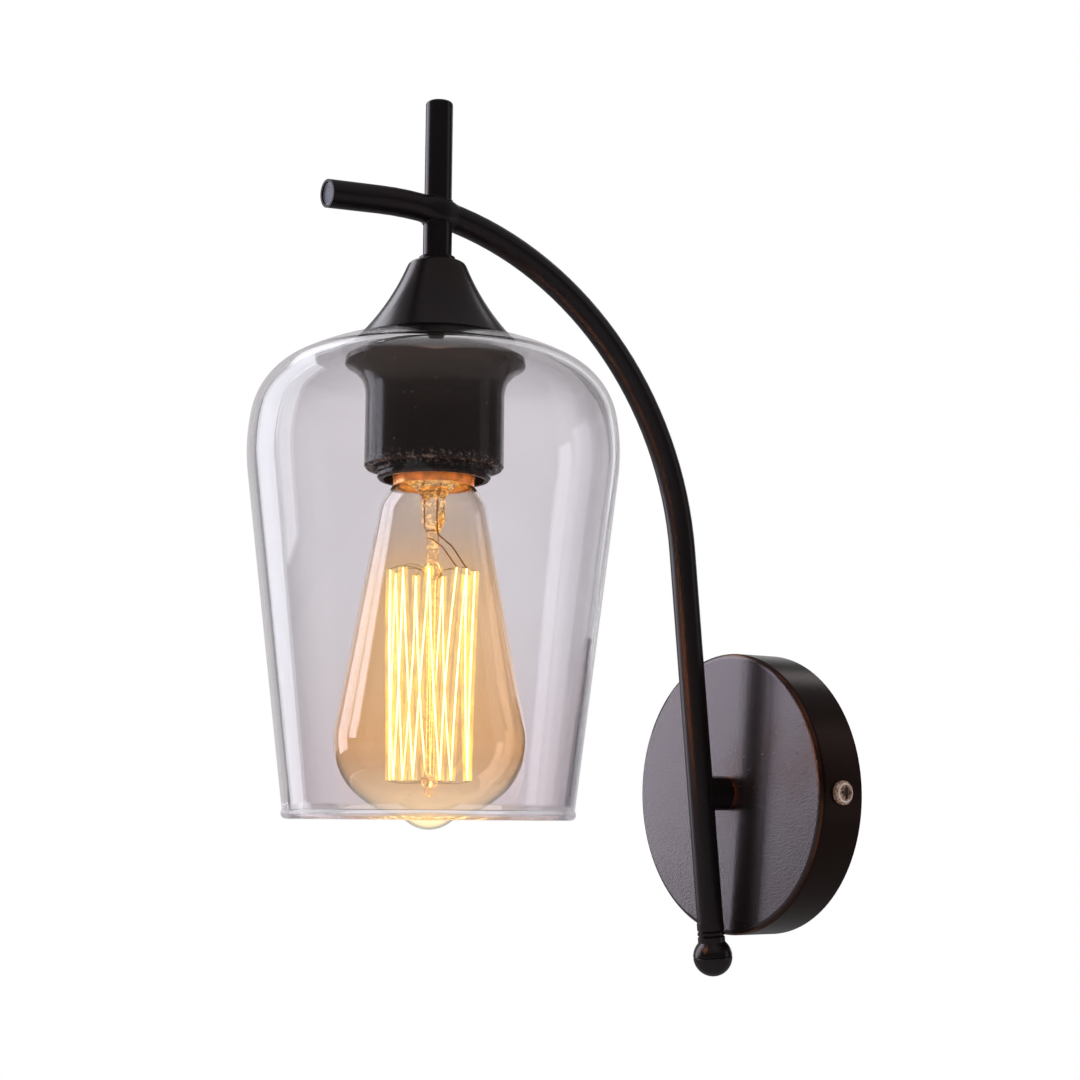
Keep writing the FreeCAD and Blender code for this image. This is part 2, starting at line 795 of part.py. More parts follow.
def make_cone():
    """Spin the concave cone that covers the lampholder, with its nut inside."""
    mid = "cone_curve + cone_wall"
    body = new_body("cone_cap")
    lathe(body, [
        ("nipple_hole", "collar_bottom"),
        ("nipple_hole", "crown_bottom"),
        ("round_axis", "crown_bottom"),
        ("round_axis + (cone_round - cone_wall) * cos(cone_neck)",
         "round_mid + (cone_round - cone_wall) * sin(cone_neck)",
         "right (cone_round - cone_wall)"),
        ("cone_inner", "cone_bottom", "left (%s)" % mid),
        ("cone_radius", "cone_bottom"),
        ("side_radius", "side_top", "right cone_curve"),
        ("round_axis", "collar_bottom - cone_crown", "left cone_round"),
    ])
    hang(body)
    finish(body, "cone_cap")
    nut = nut_body("cone_nut", "crown_bottom - nut_height")
    hang(nut)
    finish(nut, "cone_nut")


def dome_height(radius, curve="dome_curve"):
    """Give the height of the glass's dome over a radius."""
    return "dome_mid + sqrt(%s^2 - (%s - dome_axis)^2)" % (curve, radius)


def shade_wall(inset):
    """Give the corners of one face of the glass from rim to neck, at a depth in it."""
    shoulder, swell = "(shoulder_curve - %s)" % inset, "(swell_curve - %s)" % inset
    slant = "%s / cos(taper_angle)" % inset
    return [
        ("rim_radius - %s" % slant, "rim_mid"),
        ("swell_axis + %s * cos(taper_angle)" % swell,
         "swell_mid - %s * sin(taper_angle)" % swell),
        ("swell_axis + %s * cos(swell_angle)" % swell,
         "swell_mid + %s * sin(swell_angle)" % swell, swell),
        ("shoulder_axis + %s * cos(dome_angle)" % shoulder,
         "shoulder_mid + %s * sin(dome_angle)" % shoulder, shoulder),
        ("glass_neck", dome_height("glass_neck", "(dome_curve - %s)" % inset),
         "(dome_curve - %s)" % inset),
    ]


def towards(points, turn):
    """Write each arc of an outline as one that turns left or right."""
    return [point[:2] + tuple(turn + " " + radius for radius in point[2:]) for point in points]


def backwards(points, turn):
    """Run an outline the other way, so that its arcs end at their first corner."""
    flipped = []
    for number, point in enumerate(reversed(points)):
        radius = points[-number][2:] if number else ()
        flipped.append(point[:2] + tuple(turn + " " + text for text in radius))
    return flipped


def make_shade():
    """Blow the glass with an even wall and a fire-rolled bead round its rim."""
    body = new_body("glass_shade")
    outside = towards(shade_wall("0"), "left")
    inside = backwards(shade_wall("glass_wall"), "right")
    lathe(body, outside + inside)
    bead = new_sketch(body, "Bead", "XZ_Plane")
    draw(bead, polygon_points("rim_radius - glass_wall / 2", "rim_mid", "bead_radius",
                              BEAD_SIDES))
    rolled = body.newObject("PartDesign::Revolution", "Rolled")
    rolled.Profile = bead
    rolled.ReferenceAxis = (bead, ["V_Axis"])
    rolled.Angle = 360
    hang(body)
    finish(body, "glass_shade")


def make_ring():
    """Mould the shade ring, a threaded cup with a flared flange under the glass."""
    dish = "flange_top - flange_dish"
    turned_piece("shade_ring", [
        ("ring_bore", "ring_bottom + ring_chamfer"),
        ("ring_bore + ring_chamfer", "ring_bottom"),
        ("ring_radius - ring_edge", "ring_bottom"),
        ("ring_radius", "ring_bottom + ring_edge"),
        ("ring_radius", "flare_start"),
        ("flare_end", "flare_start + flare_rise", "right ring_flare"),
        ("flange_radius", "flange_top - flange_height"),
        ("flange_radius", "flange_top"),
        ("flange_radius - flange_lip", "flange_top"),
        ("ring_bore + flange_lip", dish),
        ("ring_bore", dish),
    ], hang)


def make_sleeve():
    """Mould the lampholder's sleeve, which carries the ring, the insert and the shell."""
    body = new_body("lampholder_sleeve")
    rib = "sleeve_bottom + rib_height"
    lathe(body, [
        ("sleeve_bore", "sleeve_bottom"),
        ("sleeve_lip - ring_edge", "sleeve_bottom"),
        ("sleeve_lip", "sleeve_bottom + ring_edge"),
        ("sleeve_lip", rib),
        ("sleeve_groove", rib),
        ("sleeve_groove", rib + " + rib_gap"),
        ("sleeve_radius", rib + " + rib_gap"),
        ("sleeve_radius", "sleeve_seat"),
        ("sleeve_flange", "sleeve_seat"),
        ("sleeve_flange", "sleeve_top"),
        ("sleeve_bore", "sleeve_top"),
        ("sleeve_bore", "insert_bottom"),
        ("sleeve_bore - ledge", "insert_bottom"),
        ("sleeve_bore - ledge", "insert_bottom - ledge_height"),
        ("sleeve_bore", "insert_bottom - ledge_height"),
    ])
    lug = new_sketch(body, "Lug", "XY_Plane")
    bind(lug, AttachmentOffset__Base__z="sleeve_seat - lug_height")
    draw_box(lug, "0", "0 - sleeve_radius", "lug_width", "2 * lug_reach")
    pad(body, lug, "lug_height")
    body.Placement = FreeCAD.Placement(
        vector(0, 0), FreeCAD.Rotation(vector(0, 0, 1), value("lug_turn")))
    bind(body, Placement__Rotation__Angle="lug_turn")
    hang(body)
    finish(body, "lampholder_sleeve")


def make_lampholder():
    """Close the sleeve with its cap, and hang the contacts under the insert."""
    make_sleeve()
    turned_piece("lampholder_cap", [
        ("sleeve_bore", "sleeve_top"),
        ("sleeve_radius", "sleeve_top"),
        ("sleeve_radius", "sleeve_top + cap_side"),
        ("cap_shoulder", "cap_top - cap_boss_height"),
        ("cap_boss", "cap_top - cap_boss_height"),
        ("cap_boss", "cap_top"),
        ("stem_bore", "cap_top"),
        ("stem_bore", "cap_inside"),
        ("cap_shoulder - cap_wall", "cap_inside"),
        ("sleeve_bore", "sleeve_top + cap_side"),
    ], hang)
    turned_piece("lampholder_insert", [
        ("0", "insert_bottom"),
        ("sleeve_bore - insert_gap", "insert_bottom"),
        ("sleeve_bore - insert_gap", "insert_top"),
        ("0", "insert_top"),
    ], hang)
    bottom = "sleeve_bottom + shell_inset"
    turned_piece("screw_shell", [
        ("shell_bore", bottom),
        ("shell_outside", bottom),
        ("shell_outside", "insert_bottom"),
        ("shell_hole", "insert_bottom"),
        ("shell_hole", "insert_bottom - shell_wall"),
        ("shell_bore", "insert_bottom - shell_wall"),
    ], hang)
    make_spring()
    make_terminals()


def make_spring():
    """Bend the tongue that presses on the bulb's end contact."""
    body = new_body("contact_spring")
    side = new_sketch(body, "Strip", "XZ_Plane")
    low = "contact_top + contact_gap"
    draw(side, [
        ("0 - spring_span", "insert_bottom - spring_sheet"),
        ("0 - spring_foot", "insert_bottom - spring_sheet"),
        ("0", low),
        ("spring_foot", low),
        ("spring_foot", low + " + spring_sheet"),
        ("spring_sheet", low + " + spring_sheet"),
        ("spring_sheet - spring_foot", "insert_bottom"),
        ("0 - spring_span", "insert_bottom"),
    ])
    pad(body, side, "spring_width", middle=True)
    hang(body)
    finish(body, "contact_spring")


def make_terminals():
    """Stand a brass terminal for each lead on the insert, with its clamping screw."""
    blocks = []
    screws = []
    for turn in (0, 180):
        block = new_body("Terminal")
        plan = new_sketch(block, "Plan", "XY_Plane")
        bind(plan, AttachmentOffset__Base__z="insert_top")
        draw_box(plan, "terminal_offset", "0", "terminal_size", "terminal_size")
        pad(block, plan, "terminal_size")
        hole = new_sketch(block, "LeadHole", "XY_Plane")
        bind(hole, AttachmentOffset__Base__z="terminal_top")
        draw_circle(hole, "terminal_offset", "0", "lead_radius + thread_gap")
        pocket(block, hole, "terminal_depth")
        screw = new_body("TerminalScrew")
        face = "terminal_offset + terminal_size / 2"
        side = new_sketch(screw, "Head", "YZ_Plane")
        bind(side, AttachmentOffset__Base__z=face)
        draw_circle(side, "0", "insert_top + terminal_size / 2", "terminal_head")
        pad(screw, side, "terminal_head_height")
        for piece in (block, screw):
            piece.Placement = FreeCAD.Placement(
                vector(0, 0), FreeCAD.Rotation(vector(0, 0, 1), turn))
            hang(piece)
        blocks.append(block)
        screws.append(screw)
    group("socket_terminals", blocks)
    group("socket_terminal_screws", screws)


def bulb_face(inset):
    """Give the corners of one face of the bulb's glass from tip to neck."""
    belly = "(belly_curve - %s)" % inset
    return [
        ("0", "bulb_tip + %s" % inset),
        ("pip_radius", "bulb_tip + pip_height + %s" % inset, "(pip_curve)"),
        ("belly_axis + %s * cos(belly_angle)" % belly,
         "belly_mid - %s * sin(belly_angle)" % belly, "(base_curve - %s)" % inset),
        ("belly_axis + %s * cos(bulb_taper)" % belly,
         "belly_mid + %s * sin(bulb_taper)" % belly, belly),
        ("bulb_shoulder - %s / cos(bulb_taper)" % inset, "taper_high"),
        ("bulb_neck - %s" % inset, "cap_edge - %s" % inset, "(neck_curve - %s)" % inset),
    ]


def make_bulb_shell():
    """Blow the bulb's glass and crimp its screw cap, insulator and end contact on."""
    neck = [("neck_fit", "cap_edge"), ("neck_fit", "bulb_top"),
            ("neck_fit - bulb_wall", "bulb_top")]
    outside = towards(bulb_face("0"), "left")
    inside = backwards(bulb_face("bulb_wall"), "right")
    turned_piece("bulb_glass", outside + neck + inside, hang)
    turned_piece("bulb_screw_cap", [
        ("bulb_cap_radius - bulb_cap_wall", "cap_edge"),
        ("bulb_cap_skirt", "cap_edge"),
        ("bulb_cap_skirt", "bulb_top"),
        ("bulb_cap_radius", "bulb_top"),
        ("bulb_cap_radius", "thread_top"),
        ("insulator_radius", "thread_top"),
        ("insulator_radius", "thread_top - bulb_cap_wall"),
        ("bulb_cap_radius - bulb_cap_wall", "thread_top - bulb_cap_wall"),
    ], hang)
    turned_piece("bulb_insulator", [
        ("0", "thread_top - bulb_cap_wall"),
        ("insulator_radius", "thread_top - bulb_cap_wall"),
        ("insulator_radius", "thread_top"),
        ("contact_radius", "contact_base"),
        ("0", "contact_base"),
    ], hang)
    turned_piece("bulb_end_contact", [
        ("0", "contact_base"),
        ("contact_radius", "contact_base"),
        ("contact_radius / 2", "contact_top", "left contact_radius"),
        ("0", "contact_top"),
    ], hang)
    turned_piece("bulb_stem", [
        ("0", "hooks_low - post_tail"),
        ("post_radius", "hooks_low - post_tail"),
        *button_points("hooks_low"),
        *button_points("hooks_high"),
        ("post_radius", "press_end"),
        ("press_tip", "press_end"),
        ("press_radius", "cap_edge - press_flare"),
        ("neck_fit - bulb_wall", "bulb_top - bulb_cap_wall", "right (2 * press_radius)"),
        ("neck_fit - bulb_wall", "bulb_top"),
        ("0", "bulb_top"),
    ], hang)


def button_points(level):
    """Give the section of a glass button on the stem's rod."""
    low, high = level + " - button_height / 2", level + " + button_height / 2"
    return [("post_radius", low), ("button_radius", low),
            ("button_radius", high), ("post_radius", high)]


def cage_corner(number):
    """Give the place of one of the filament's hooks, upper and lower in turn."""
    high = number % 2 == 0
    angle = math.radians(value("cage_start") + value("cage_turn") * number / STRANDS)
    radius = value("cage_top_radius" if high else "cage_low_radius")
    level = value("cross_z") + value("hooks_high" if high else "hooks_low")
    return vector(radius * math.cos(angle), radius * math.sin(angle) - value("stem_reach"), level)


def polygon_across(centre, heading, radius, sides):
    """Draw an even polygon about a point, square to a heading."""
    turning = FreeCAD.Rotation(vector(0, 0, 1), heading)
    corners = [math.radians(360 * number / sides) for number in range(sides)]
    spots = [centre + turning.multVec(vector(math.cos(turn), math.sin(turn)) * radius)
             for turn in corners]
    return Part.makePolygon(spots + spots[:1])


def rod_between(start, end, radius):
    return Part.Face(polygon_across(start, end - start, radius, WIRE_SIDES)).extrude(end - start)


def place_shape(name, shape):
    feature = doc.addObject("Part::Feature", name)
    feature.Shape = shape
    feature.Placement = FreeCAD.Placement()
    return finish(feature, name)


def make_filament():
    """String the filament up and down between the hooks."""
    corners = [cage_corner(number) for number in range(STRANDS + 1)]
    thickness = value("filament_radius")
    strands = [rod_between(*pair, thickness) for pair in zip(corners, corners[1:])]
    place_shape("bulb_filament", strands[0].fuse(strands[1:]))
    make_hooks(corners, thickness)


def make_hooks(corners, thickness):
    """Set a hook from the stem's buttons to each bend, and a lead wire to each end."""
    axis = vector(0, -value("stem_reach"), value("cross_z"))
    hook = value("hook_radius")
    button = value("button_radius + thread_gap")
    hooks = []
    wires = []
    for number, corner in enumerate(corners):
        side = vector(corner.x, corner.y - axis.y)
        side.normalize()
        held = number in (0, STRANDS)
        root = vector(axis.x, axis.y, corner.z) + side * button
        if held:
            root = axis + side * button + vector(0, 0, value("press_end") - hook)
        reach = corner - root
        reach.normalize()
        rod = rod_between(root, corner - reach * thickness, hook)
        (wires if held else hooks).append(rod)
    place_shape("bulb_hooks", Part.makeCompound(hooks))
    place_shape("bulb_lead_wires", Part.makeCompound(wires))


def rounded_wire(points, radii):
    """Join points by straight runs, with an arc of its own radius at each corner."""
    edges = []
    reached = points[0]
    for before, corner, after, radius in zip(points, points[1:], points[2:], radii):
        arriving = corner - before
        arriving.normalize()
        leaving = after - corner
        leaving.normalize()
        half = arriving.getAngle(leaving) / 2
        cut = radius * math.tan(half)
        first, last = corner - arriving * cut, corner + leaving * cut
        inward = leaving - arriving
        inward.normalize()
        middle = corner + inward * (radius / math.cos(half) - radius)
        edges.append(Part.LineSegment(reached, first).toShape())
        edges.append(Part.Arc(first, middle, last).toShape())
        reached = last
    edges.append(Part.LineSegment(reached, points[-1]).toShape())
    return Part.Wire(edges)


def lead_route(side):
    """Lead one wire from the connector through stub, arm and stem to its terminal."""
    spread = side * value("lead_spread")
    pole = side * value("pole_offset")
    depth = -value("lead_depth")
    reach = -value("stem_reach")
    level = value("cross_z")
    lean, bend = math.radians(value("arm_lean")), value("arm_bend")
    leave = math.acos((reach - value("bend_y")) / bend) - 2 * value("lead_bend") / bend
    tangent = bend * math.tan((leave - lean) / 2)
    up = value("arm_straight") + tangent
    turn = vector(spread, -value("arm_offset") - up * math.sin(lean), up * math.cos(lean))
    past = (turn.y - reach) / math.sin(leave)
    mouth = value("cap_inside")
    bend_small = value("lead_bend")
    points = [
        vector(pole, depth, value("block_lift + lead_entry")),
        vector(pole, depth, value("block_lift - lead_bend")),
        vector(spread, depth, 2 * bend_small),
        vector(spread, depth, 0),
        vector(spread, -value("arm_offset"), 0),
        turn,
        vector(spread, reach, turn.z + past * math.cos(leave)),
        vector(spread, reach, level + mouth - bend_small),
        vector(side * value("terminal_offset"), reach,
               level + value("terminal_top + lead_bend")),
        vector(side * value("terminal_offset"), reach,
               level + value("terminal_top - terminal_depth + thread_gap")),
    ]
    small = [bend_small] * len(points)
    small[4] = bend
    return rounded_wire(points, small)


def make_leads():
    for name, side in (("live_lead", 1), ("neutral_lead", -1)):
        route = lead_route(side)
        start, radius = route.Vertexes[0].Point, value("lead_radius")
        section = polygon_across(start, vector(0, 0, 1), radius, LEAD_SIDES)
        lead = route.makePipeShell([section], True, False)
        expected = route.Length * Part.Face(section).Area
        print(name, "length", round(route.Length, 1), "volume", round(lead.Volume / expected, 4))
        place_shape(name, lead)


def block_plan():
    """Give the connector's outline, a rectangle with round corners."""
    side, low, high = "block_width / 2", "block_lift", "block_lift + block_length"
    turn = "left block_round"
    return [
        ("block_round - " + side, low, turn),
        ("%s - block_round" % side, low),
        (side, low + " + block_round", turn),
        (side, high + " - block_round"),
        ("%s - block_round" % side, high, turn),
        ("block_round - " + side, high),
        ("0 - " + side, high + " - block_round", turn),
        ("0 - " + side, low + " + block_round"),
    ]


def make_connector():
    """Mould the two-pole connector, with brass poles and their screws."""
    body = new_body("terminal_block")
    plan = new_sketch(body, "Plan", "XY_Plane")
    bind(plan, AttachmentOffset__Base__z="block_face")
    draw(plan, block_plan())
    pad(body, plan, "block_height")
    ends = new_sketch(body, "Poles", "XZ_Plane")
    wells = new_sketch(body, "Wells", "XY_Plane")
    bind(wells, AttachmentOffset__Base__z="block_face")
    for side in ("0 - pole_offset", "pole_offset"):
        draw_circle(ends, side, "lead_depth", "pole_radius + thread_gap")
        for way in ("-", "+"):
            draw_circle(wells, side, "block_lift + block_length / 2 %s pole_offset" % way,
                        "well_radius")
    pocket(body, ends, "block_lift + 2 * block_length")
    pocket(body, wells, "lead_depth - block_face", away=True)
    on_wall(body)
    finish(body, "terminal_block")
    make_poles()


def make_poles():
    poles = []
    screws = []
    for side in ("0 - pole_offset", "pole_offset"):
        pole = new_body("Pole")
        lathe(pole, ring_points("pole_bore", "pole_radius", "block_lift + thread_gap",
                                "block_lift + block_length - thread_gap"))
        bind(pole, Placement__Base__x=side, Placement__Base__y="0 - lead_depth")
        poles.append(pole)
        for way in ("-", "+"):
            screw = new_body("PoleScrew")
            lathe(screw, [
                ("0", "block_face + pole_screw_sink"),
                ("pole_screw", "block_face + pole_screw_sink"),
                ("pole_screw", "lead_depth - pole_radius"),
                ("0", "lead_depth - pole_radius"),
            ])
            on_wall(screw)
            bind(screw, Placement__Base__x=side,
                 Placement__Base__z="block_lift + block_length / 2 %s pole_offset" % way)
            screws.append(screw)
    group("connector_poles", poles)
    group("connector_screws", screws)


def make_all():
    """Build every sub-part from the wall outwards."""
    fill_sheet()
    make_bracket()
    make_canopy_screws()
    make_ground_screw()
    make_canopy()
    envelope = make_stub()
    make_arm()
    make_arm_ends()
    make_stem(envelope)
    make_cone()
    make_shade()
    make_ring()
    make_lampholder()
    make_bulb_shell()
    make_filament()
    make_leads()
    make_connector()
    doc.recompute()


def check_all():
    """Stop where an object failed or a sub-part has no sound shape."""
    for item in doc.Objects:
        if "Invalid" in item.State or "Error" in item.State:
            raise ValueError(item.Name + " failed")
    for item in finished:
        if item.Shape.isNull() or not item.Shape.isValid():
            raise ValueError(item.Label + " has no valid shape")


def write_all():
    os.makedirs("parts", exist_ok=True)
    for item in finished:
        item.Shape.exportStep("parts/%s.step" % item.Label)
    print(len(finished), "sub-parts written")


make_all()
check_all()
write_all()
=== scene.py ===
# %% [markdown]
# # A pendant wall sconce
# A round steel canopy sits on the wall. A black tube rises from it, bends over and carries a
# lampholder, from which a clear glass shade and an amber filament bulb hang. The metal shapes
# come from the construction model, and this script gives them their finish, adds what only
# the eye needs, and blows the two glasses anew, because glass shows every facet.

# %% Load the construction model
import math
import random

import bmesh
import bpy
from mathutils import Matrix, Vector


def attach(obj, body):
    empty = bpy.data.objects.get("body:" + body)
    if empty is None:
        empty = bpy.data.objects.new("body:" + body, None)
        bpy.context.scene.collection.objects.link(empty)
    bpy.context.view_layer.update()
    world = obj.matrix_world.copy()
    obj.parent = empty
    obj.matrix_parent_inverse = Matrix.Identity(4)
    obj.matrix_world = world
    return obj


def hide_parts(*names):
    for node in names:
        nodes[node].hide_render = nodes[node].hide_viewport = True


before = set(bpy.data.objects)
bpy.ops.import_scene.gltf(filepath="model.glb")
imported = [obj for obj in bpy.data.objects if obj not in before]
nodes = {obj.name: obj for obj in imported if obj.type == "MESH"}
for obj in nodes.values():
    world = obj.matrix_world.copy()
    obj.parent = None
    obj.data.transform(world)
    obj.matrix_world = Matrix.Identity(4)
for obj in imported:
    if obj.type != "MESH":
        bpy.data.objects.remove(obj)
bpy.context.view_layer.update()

MM, PENDANT_Y = 0.001, -146.0
WHITE = (1.0, 1.0, 1.0)


def added(name, data):
    """Add an object to the scene."""
    thing = bpy.data.objects.new(name, data)
    bpy.context.scene.collection.objects.link(thing)
    return thing


# %% [markdown]
# ## Shader sums
# A finish is mostly arithmetic on positions and noise. One small class wraps the output of a
# shader node, so that such sums read like ordinary Python and add their own Math nodes.

# %% A signal between shader nodes


class Signal:
    """The output of a shader node, with ordinary operators."""

    def __init__(self, tree, socket):
        self.tree, self.socket = tree, socket

    def math(self, operation, *terms):
        node = self.tree.nodes.new("ShaderNodeMath")
        node.operation = operation
        for slot, term in zip(node.inputs, terms):
            plug(self.tree, slot, term)
        return Signal(self.tree, node.outputs[0])

    def any(self):
        """1 for a count of one or more."""
        return self.math("MINIMUM", self, 1.0)

    def __add__(self, other):
        return self.math("ADD", self, other)

    def __sub__(self, other):
        return self.math("SUBTRACT", self, other)

    def __rsub__(self, other):
        return self.math("SUBTRACT", other, self)

    def __mul__(self, other):
        return self.math("MULTIPLY", self, other)

    def __truediv__(self, other):
        return self.math("DIVIDE", self, other)

    def __rtruediv__(self, other):
        return self.math("DIVIDE", other, self)

    def __pow__(self, other):
        return self.math("POWER", self, other)

    def __rpow__(self, other):
        return self.math("POWER", other, self)

    __radd__ = __add__
    __rmul__ = __mul__


def plug(tree, slot, term):
    """Link a signal to a socket, or set a plain value on it."""
    if isinstance(term, Signal):
        tree.links.new(term.socket, slot)
    elif isinstance(term, bpy.types.ID):
        slot.default_value = term
    elif hasattr(slot.default_value, "__len__") and len(slot.default_value) == 4:
        slot.default_value = tuple(term)[:3] + (1.0,)
    else:
        slot.default_value = term


# %% Any node, and a finish under construction


class Graph:
    """A node tree whose nodes are added one by one."""

    def __init__(self, tree):
        self.tree = tree
        tree.nodes.clear()

    def node(self, kind, inputs=(), output=0, **settings):
        """Add any node: its settings first, then the values or links of its sockets."""
        node = self.tree.nodes.new(kind)
        for name, setting in settings.items():
            setattr(node, name, setting)
        for name, term in dict(inputs).items():
            plug(self.tree, node.inputs[name], term)
        return Signal(self.tree, node.outputs[output] if len(node.outputs) else None)

    def blended(self, share, first, second):
        """Mix two shaders."""
        return self.node("ShaderNodeMixShader", {0: share, 1: first, 2: second})

    def ray(self, *names):
        """What the light path says about a ray."""
        said = [self.node("ShaderNodeLightPath", output=name) for name in names]
        return said if len(said) > 1 else said[0]

    def clear(self, tint=WHITE):
        return self.node("ShaderNodeBsdfTransparent", {"Color": tint})

    def light(self, colour, strength):
        return self.node("ShaderNodeEmission", {"Color": colour, "Strength": strength})


class Finish(Graph):
    """A material."""

    def __init__(self, name):
        self.material = bpy.data.materials.new(name)
        self.material.use_nodes = True
        super().__init__(self.material.node_tree)
        self.place = self.node("ShaderNodeTexCoord", output="Object")

    def noise(self, size, detail=2.0, roughness=0.5, place=None):
        """Even noise, in blotches about size metres across."""
        return self.node("ShaderNodeTexNoise", {
            "Vector": place or self.place, "Scale": 1.0 / size, "Detail": detail,
            "Roughness": roughness})

    def between(self, signal, low, high):
        """Rise softly from 0 at low to 1 at high."""
        return self.node("ShaderNodeMapRange", {
            "Value": signal, "From Min": low, "From Max": high},
            interpolation_type="SMOOTHSTEP")

    def mix(self, share, first, second):
        """Blend two colours."""
        return self.node("ShaderNodeMix", {0: share, 6: first, 7: second}, output=2,
                         data_type="RGBA")

    def stretched(self, across, along):
        """Squeeze the object's coordinates, for brushed marks and streaks."""
        return self.node("ShaderNodeMapping", {
            "Vector": self.place, "Scale": (across, across, along)})

    def axis(self, number):
        """One coordinate of the place, in metres: 0 is X, 1 is Y and 2 is Z."""
        return self.node("ShaderNodeSeparateXYZ", {"Vector": self.place}, output=number)

    def from_line(self, first, second, x=0.0, y=0.0):
        """The distance from a line, in the plane of two coordinates."""
        across, deep = self.axis(first) - x, self.axis(second) - y
        return (across * across + deep * deep) ** 0.5

    def bump(self, height, depth, strength):
        return self.node("ShaderNodeBump", {
            "Height": height, "Distance": depth, "Strength": strength})

    def principled(self, **inputs):
        named = {name.replace("_", " "): term for name, term in inputs.items()}
        return self.node("ShaderNodeBsdfPrincipled", named)

    def done(self, shader):
        self.node("ShaderNodeOutputMaterial", {"Surface": shader})
        print("finish", self.material.name, "with", len(self.tree.nodes), "nodes")
        return self.material


# %% [markdown]
# ## The camera
# The photograph was taken from the right and from a little below the lamp, 0.74 m from the
# canopy, with a lens of about 66 mm. A camera could be set by eye, but every outline depends
# on it, so its place was fitted to the outlines of canopy, arm, cone, shade and bulb. It turns
# about Z, tips up, and rolls a trace.

# %% Place the camera
CAMERA_PLACE = (0.55648, -0.48816, -0.00894)
CAMERA_TURN, CAMERA_TIP, CAMERA_ROLL = 55.27, 8.0, 0.43
SENSOR, FRAME_PIXELS, FOCAL_PIXELS = 36.0, 1080, 1967.6

camera = added("camera", bpy.data.cameras.new("camera"))
camera.data.sensor_width = SENSOR
camera.data.lens = SENSOR * FOCAL_PIXELS / FRAME_PIXELS
camera.data.clip_start = 0.01
camera.matrix_world = (
    Matrix.Translation(CAMERA_PLACE)
    @ Matrix.Rotation(math.radians(CAMERA_TURN), 4, "Z")
    @ Matrix.Rotation(math.radians(90 + CAMERA_TIP), 4, "X")
    @ Matrix.Rotation(math.radians(CAMERA_ROLL), 4, "Z"))
bpy.context.scene.camera = camera
print("lens", round(camera.data.lens, 2), "mm")

# %% [markdown]
# ## The studio
# The lamp hangs in front of a white paper sweep. Two tall soft lights stand at the camera's
# left and one hangs above them, two faint ones stand at its right, and the rest of the room is
# dim. Black lacquer and glass are nothing but reflections of these, so their places matter
# more than their strength.

# %% The lights
VIEW_MIDDLE = Vector((0.0, -0.09, 0.08))
CARD_SHARE, BEHIND_GLASS = math.pi / 4, 3.5


def level_quad(name, wide, deep, up=0.0):
    """A level rectangle that faces up."""
    mesh = bpy.data.meshes.new(name)
    mesh.from_pydata([(x * wide / 2, y * deep / 2, up)
                      for x, y in ((-1, -1), (1, -1), (1, 1), (-1, 1))], [], [(0, 1, 2, 3)])
    return mesh


def softbox(name, turn, height, distance, width, tall, radiance, colour=WHITE, inside=1.0):
    """Stand a soft light at a turn in degrees about the lamp, facing it. Glass shows it only as
    a reflection, never straight through, and a card in its place sees to that. inside makes it
    stronger for what is mirrored behind the shade's wall, which light has crossed four times."""
    angle = math.radians(turn)
    place = VIEW_MIDDLE + Vector((math.cos(angle), math.sin(angle), 0)) * distance
    place.z += height
    data = bpy.data.lights.new(name, "AREA")
    data.shape, data.size, data.size_y = "RECTANGLE", width, tall
    data.energy = radiance * math.pi * width * tall
    data.color = colour
    light = added(name, data)
    facing = (VIEW_MIDDLE - place).to_track_quat("-Z", "Y")
    light.matrix_world = Matrix.Translation(place) @ facing.to_matrix().to_4x4()
    light.visible_transmission = False

    card = added(name + "_in_glass", level_quad(name, width, tall))
    glow = Finish(name)
    crossed, bounced = glow.ray("Transmission Depth", "Glossy Depth")
    behind = crossed.math("GREATER_THAN", crossed, BEHIND_GLASS)
    shine = glow.light(colour, (behind * (inside - 1.0) + 1.0) * (radiance * CARD_SHARE))
    card.data.materials.append(glow.done(glow.blended(bounced.any(), glow.clear(), shine)))
    card.matrix_world = light.matrix_world
    card.visible_camera = card.visible_glossy = card.visible_diffuse = False
    card.visible_shadow = card.visible_volume_scatter = False


softbox("window_left", 228, 0.65, 1.6, 0.42, 1.46, 2.4, (0.88, 0.91, 1.0), 1.6)
softbox("card_left", 207, 0.50, 1.5, 0.68, 1.70, 2.9, (0.90, 0.93, 1.0))
softbox("card_high", 183, 1.35, 1.4, 0.5, 0.6, 2.2, (0.92, 0.94, 1.0))
softbox("card_back_right", 110, 0.55, 1.4, 0.30, 1.5, 0.8)
softbox("card_right", 56, 0.2, 1.4, 0.50, 1.5, 0.32, (1.0, 0.97, 0.97), 1.3)

# The lit bulb's own light on the lamp
CAGE_MIDDLE = 45.0
inner_glow = added("inner_glow", bpy.data.lights.new("inner_glow", "POINT"))
inner_glow.data.energy, inner_glow.data.shadow_soft_size = 0.10, 0.011
inner_glow.data.color = (1.0, 0.56, 0.20)
inner_glow.location = (0.0, PENDANT_Y * MM, CAGE_MIDDLE * MM)
inner_glow.visible_camera = inner_glow.visible_glossy = inner_glow.visible_transmission = False

# %% The white sweep and the dim room
SWEEP_HEADING = (-0.82, 0.57, 0.0)
SWEEP_GLOSS, CEILING_GLOSS, ROOM_GLOSS = 0.60, 0.16, 0.025
ROOM_THROUGH, ROOM_LIGHT = 0.06, 0.6

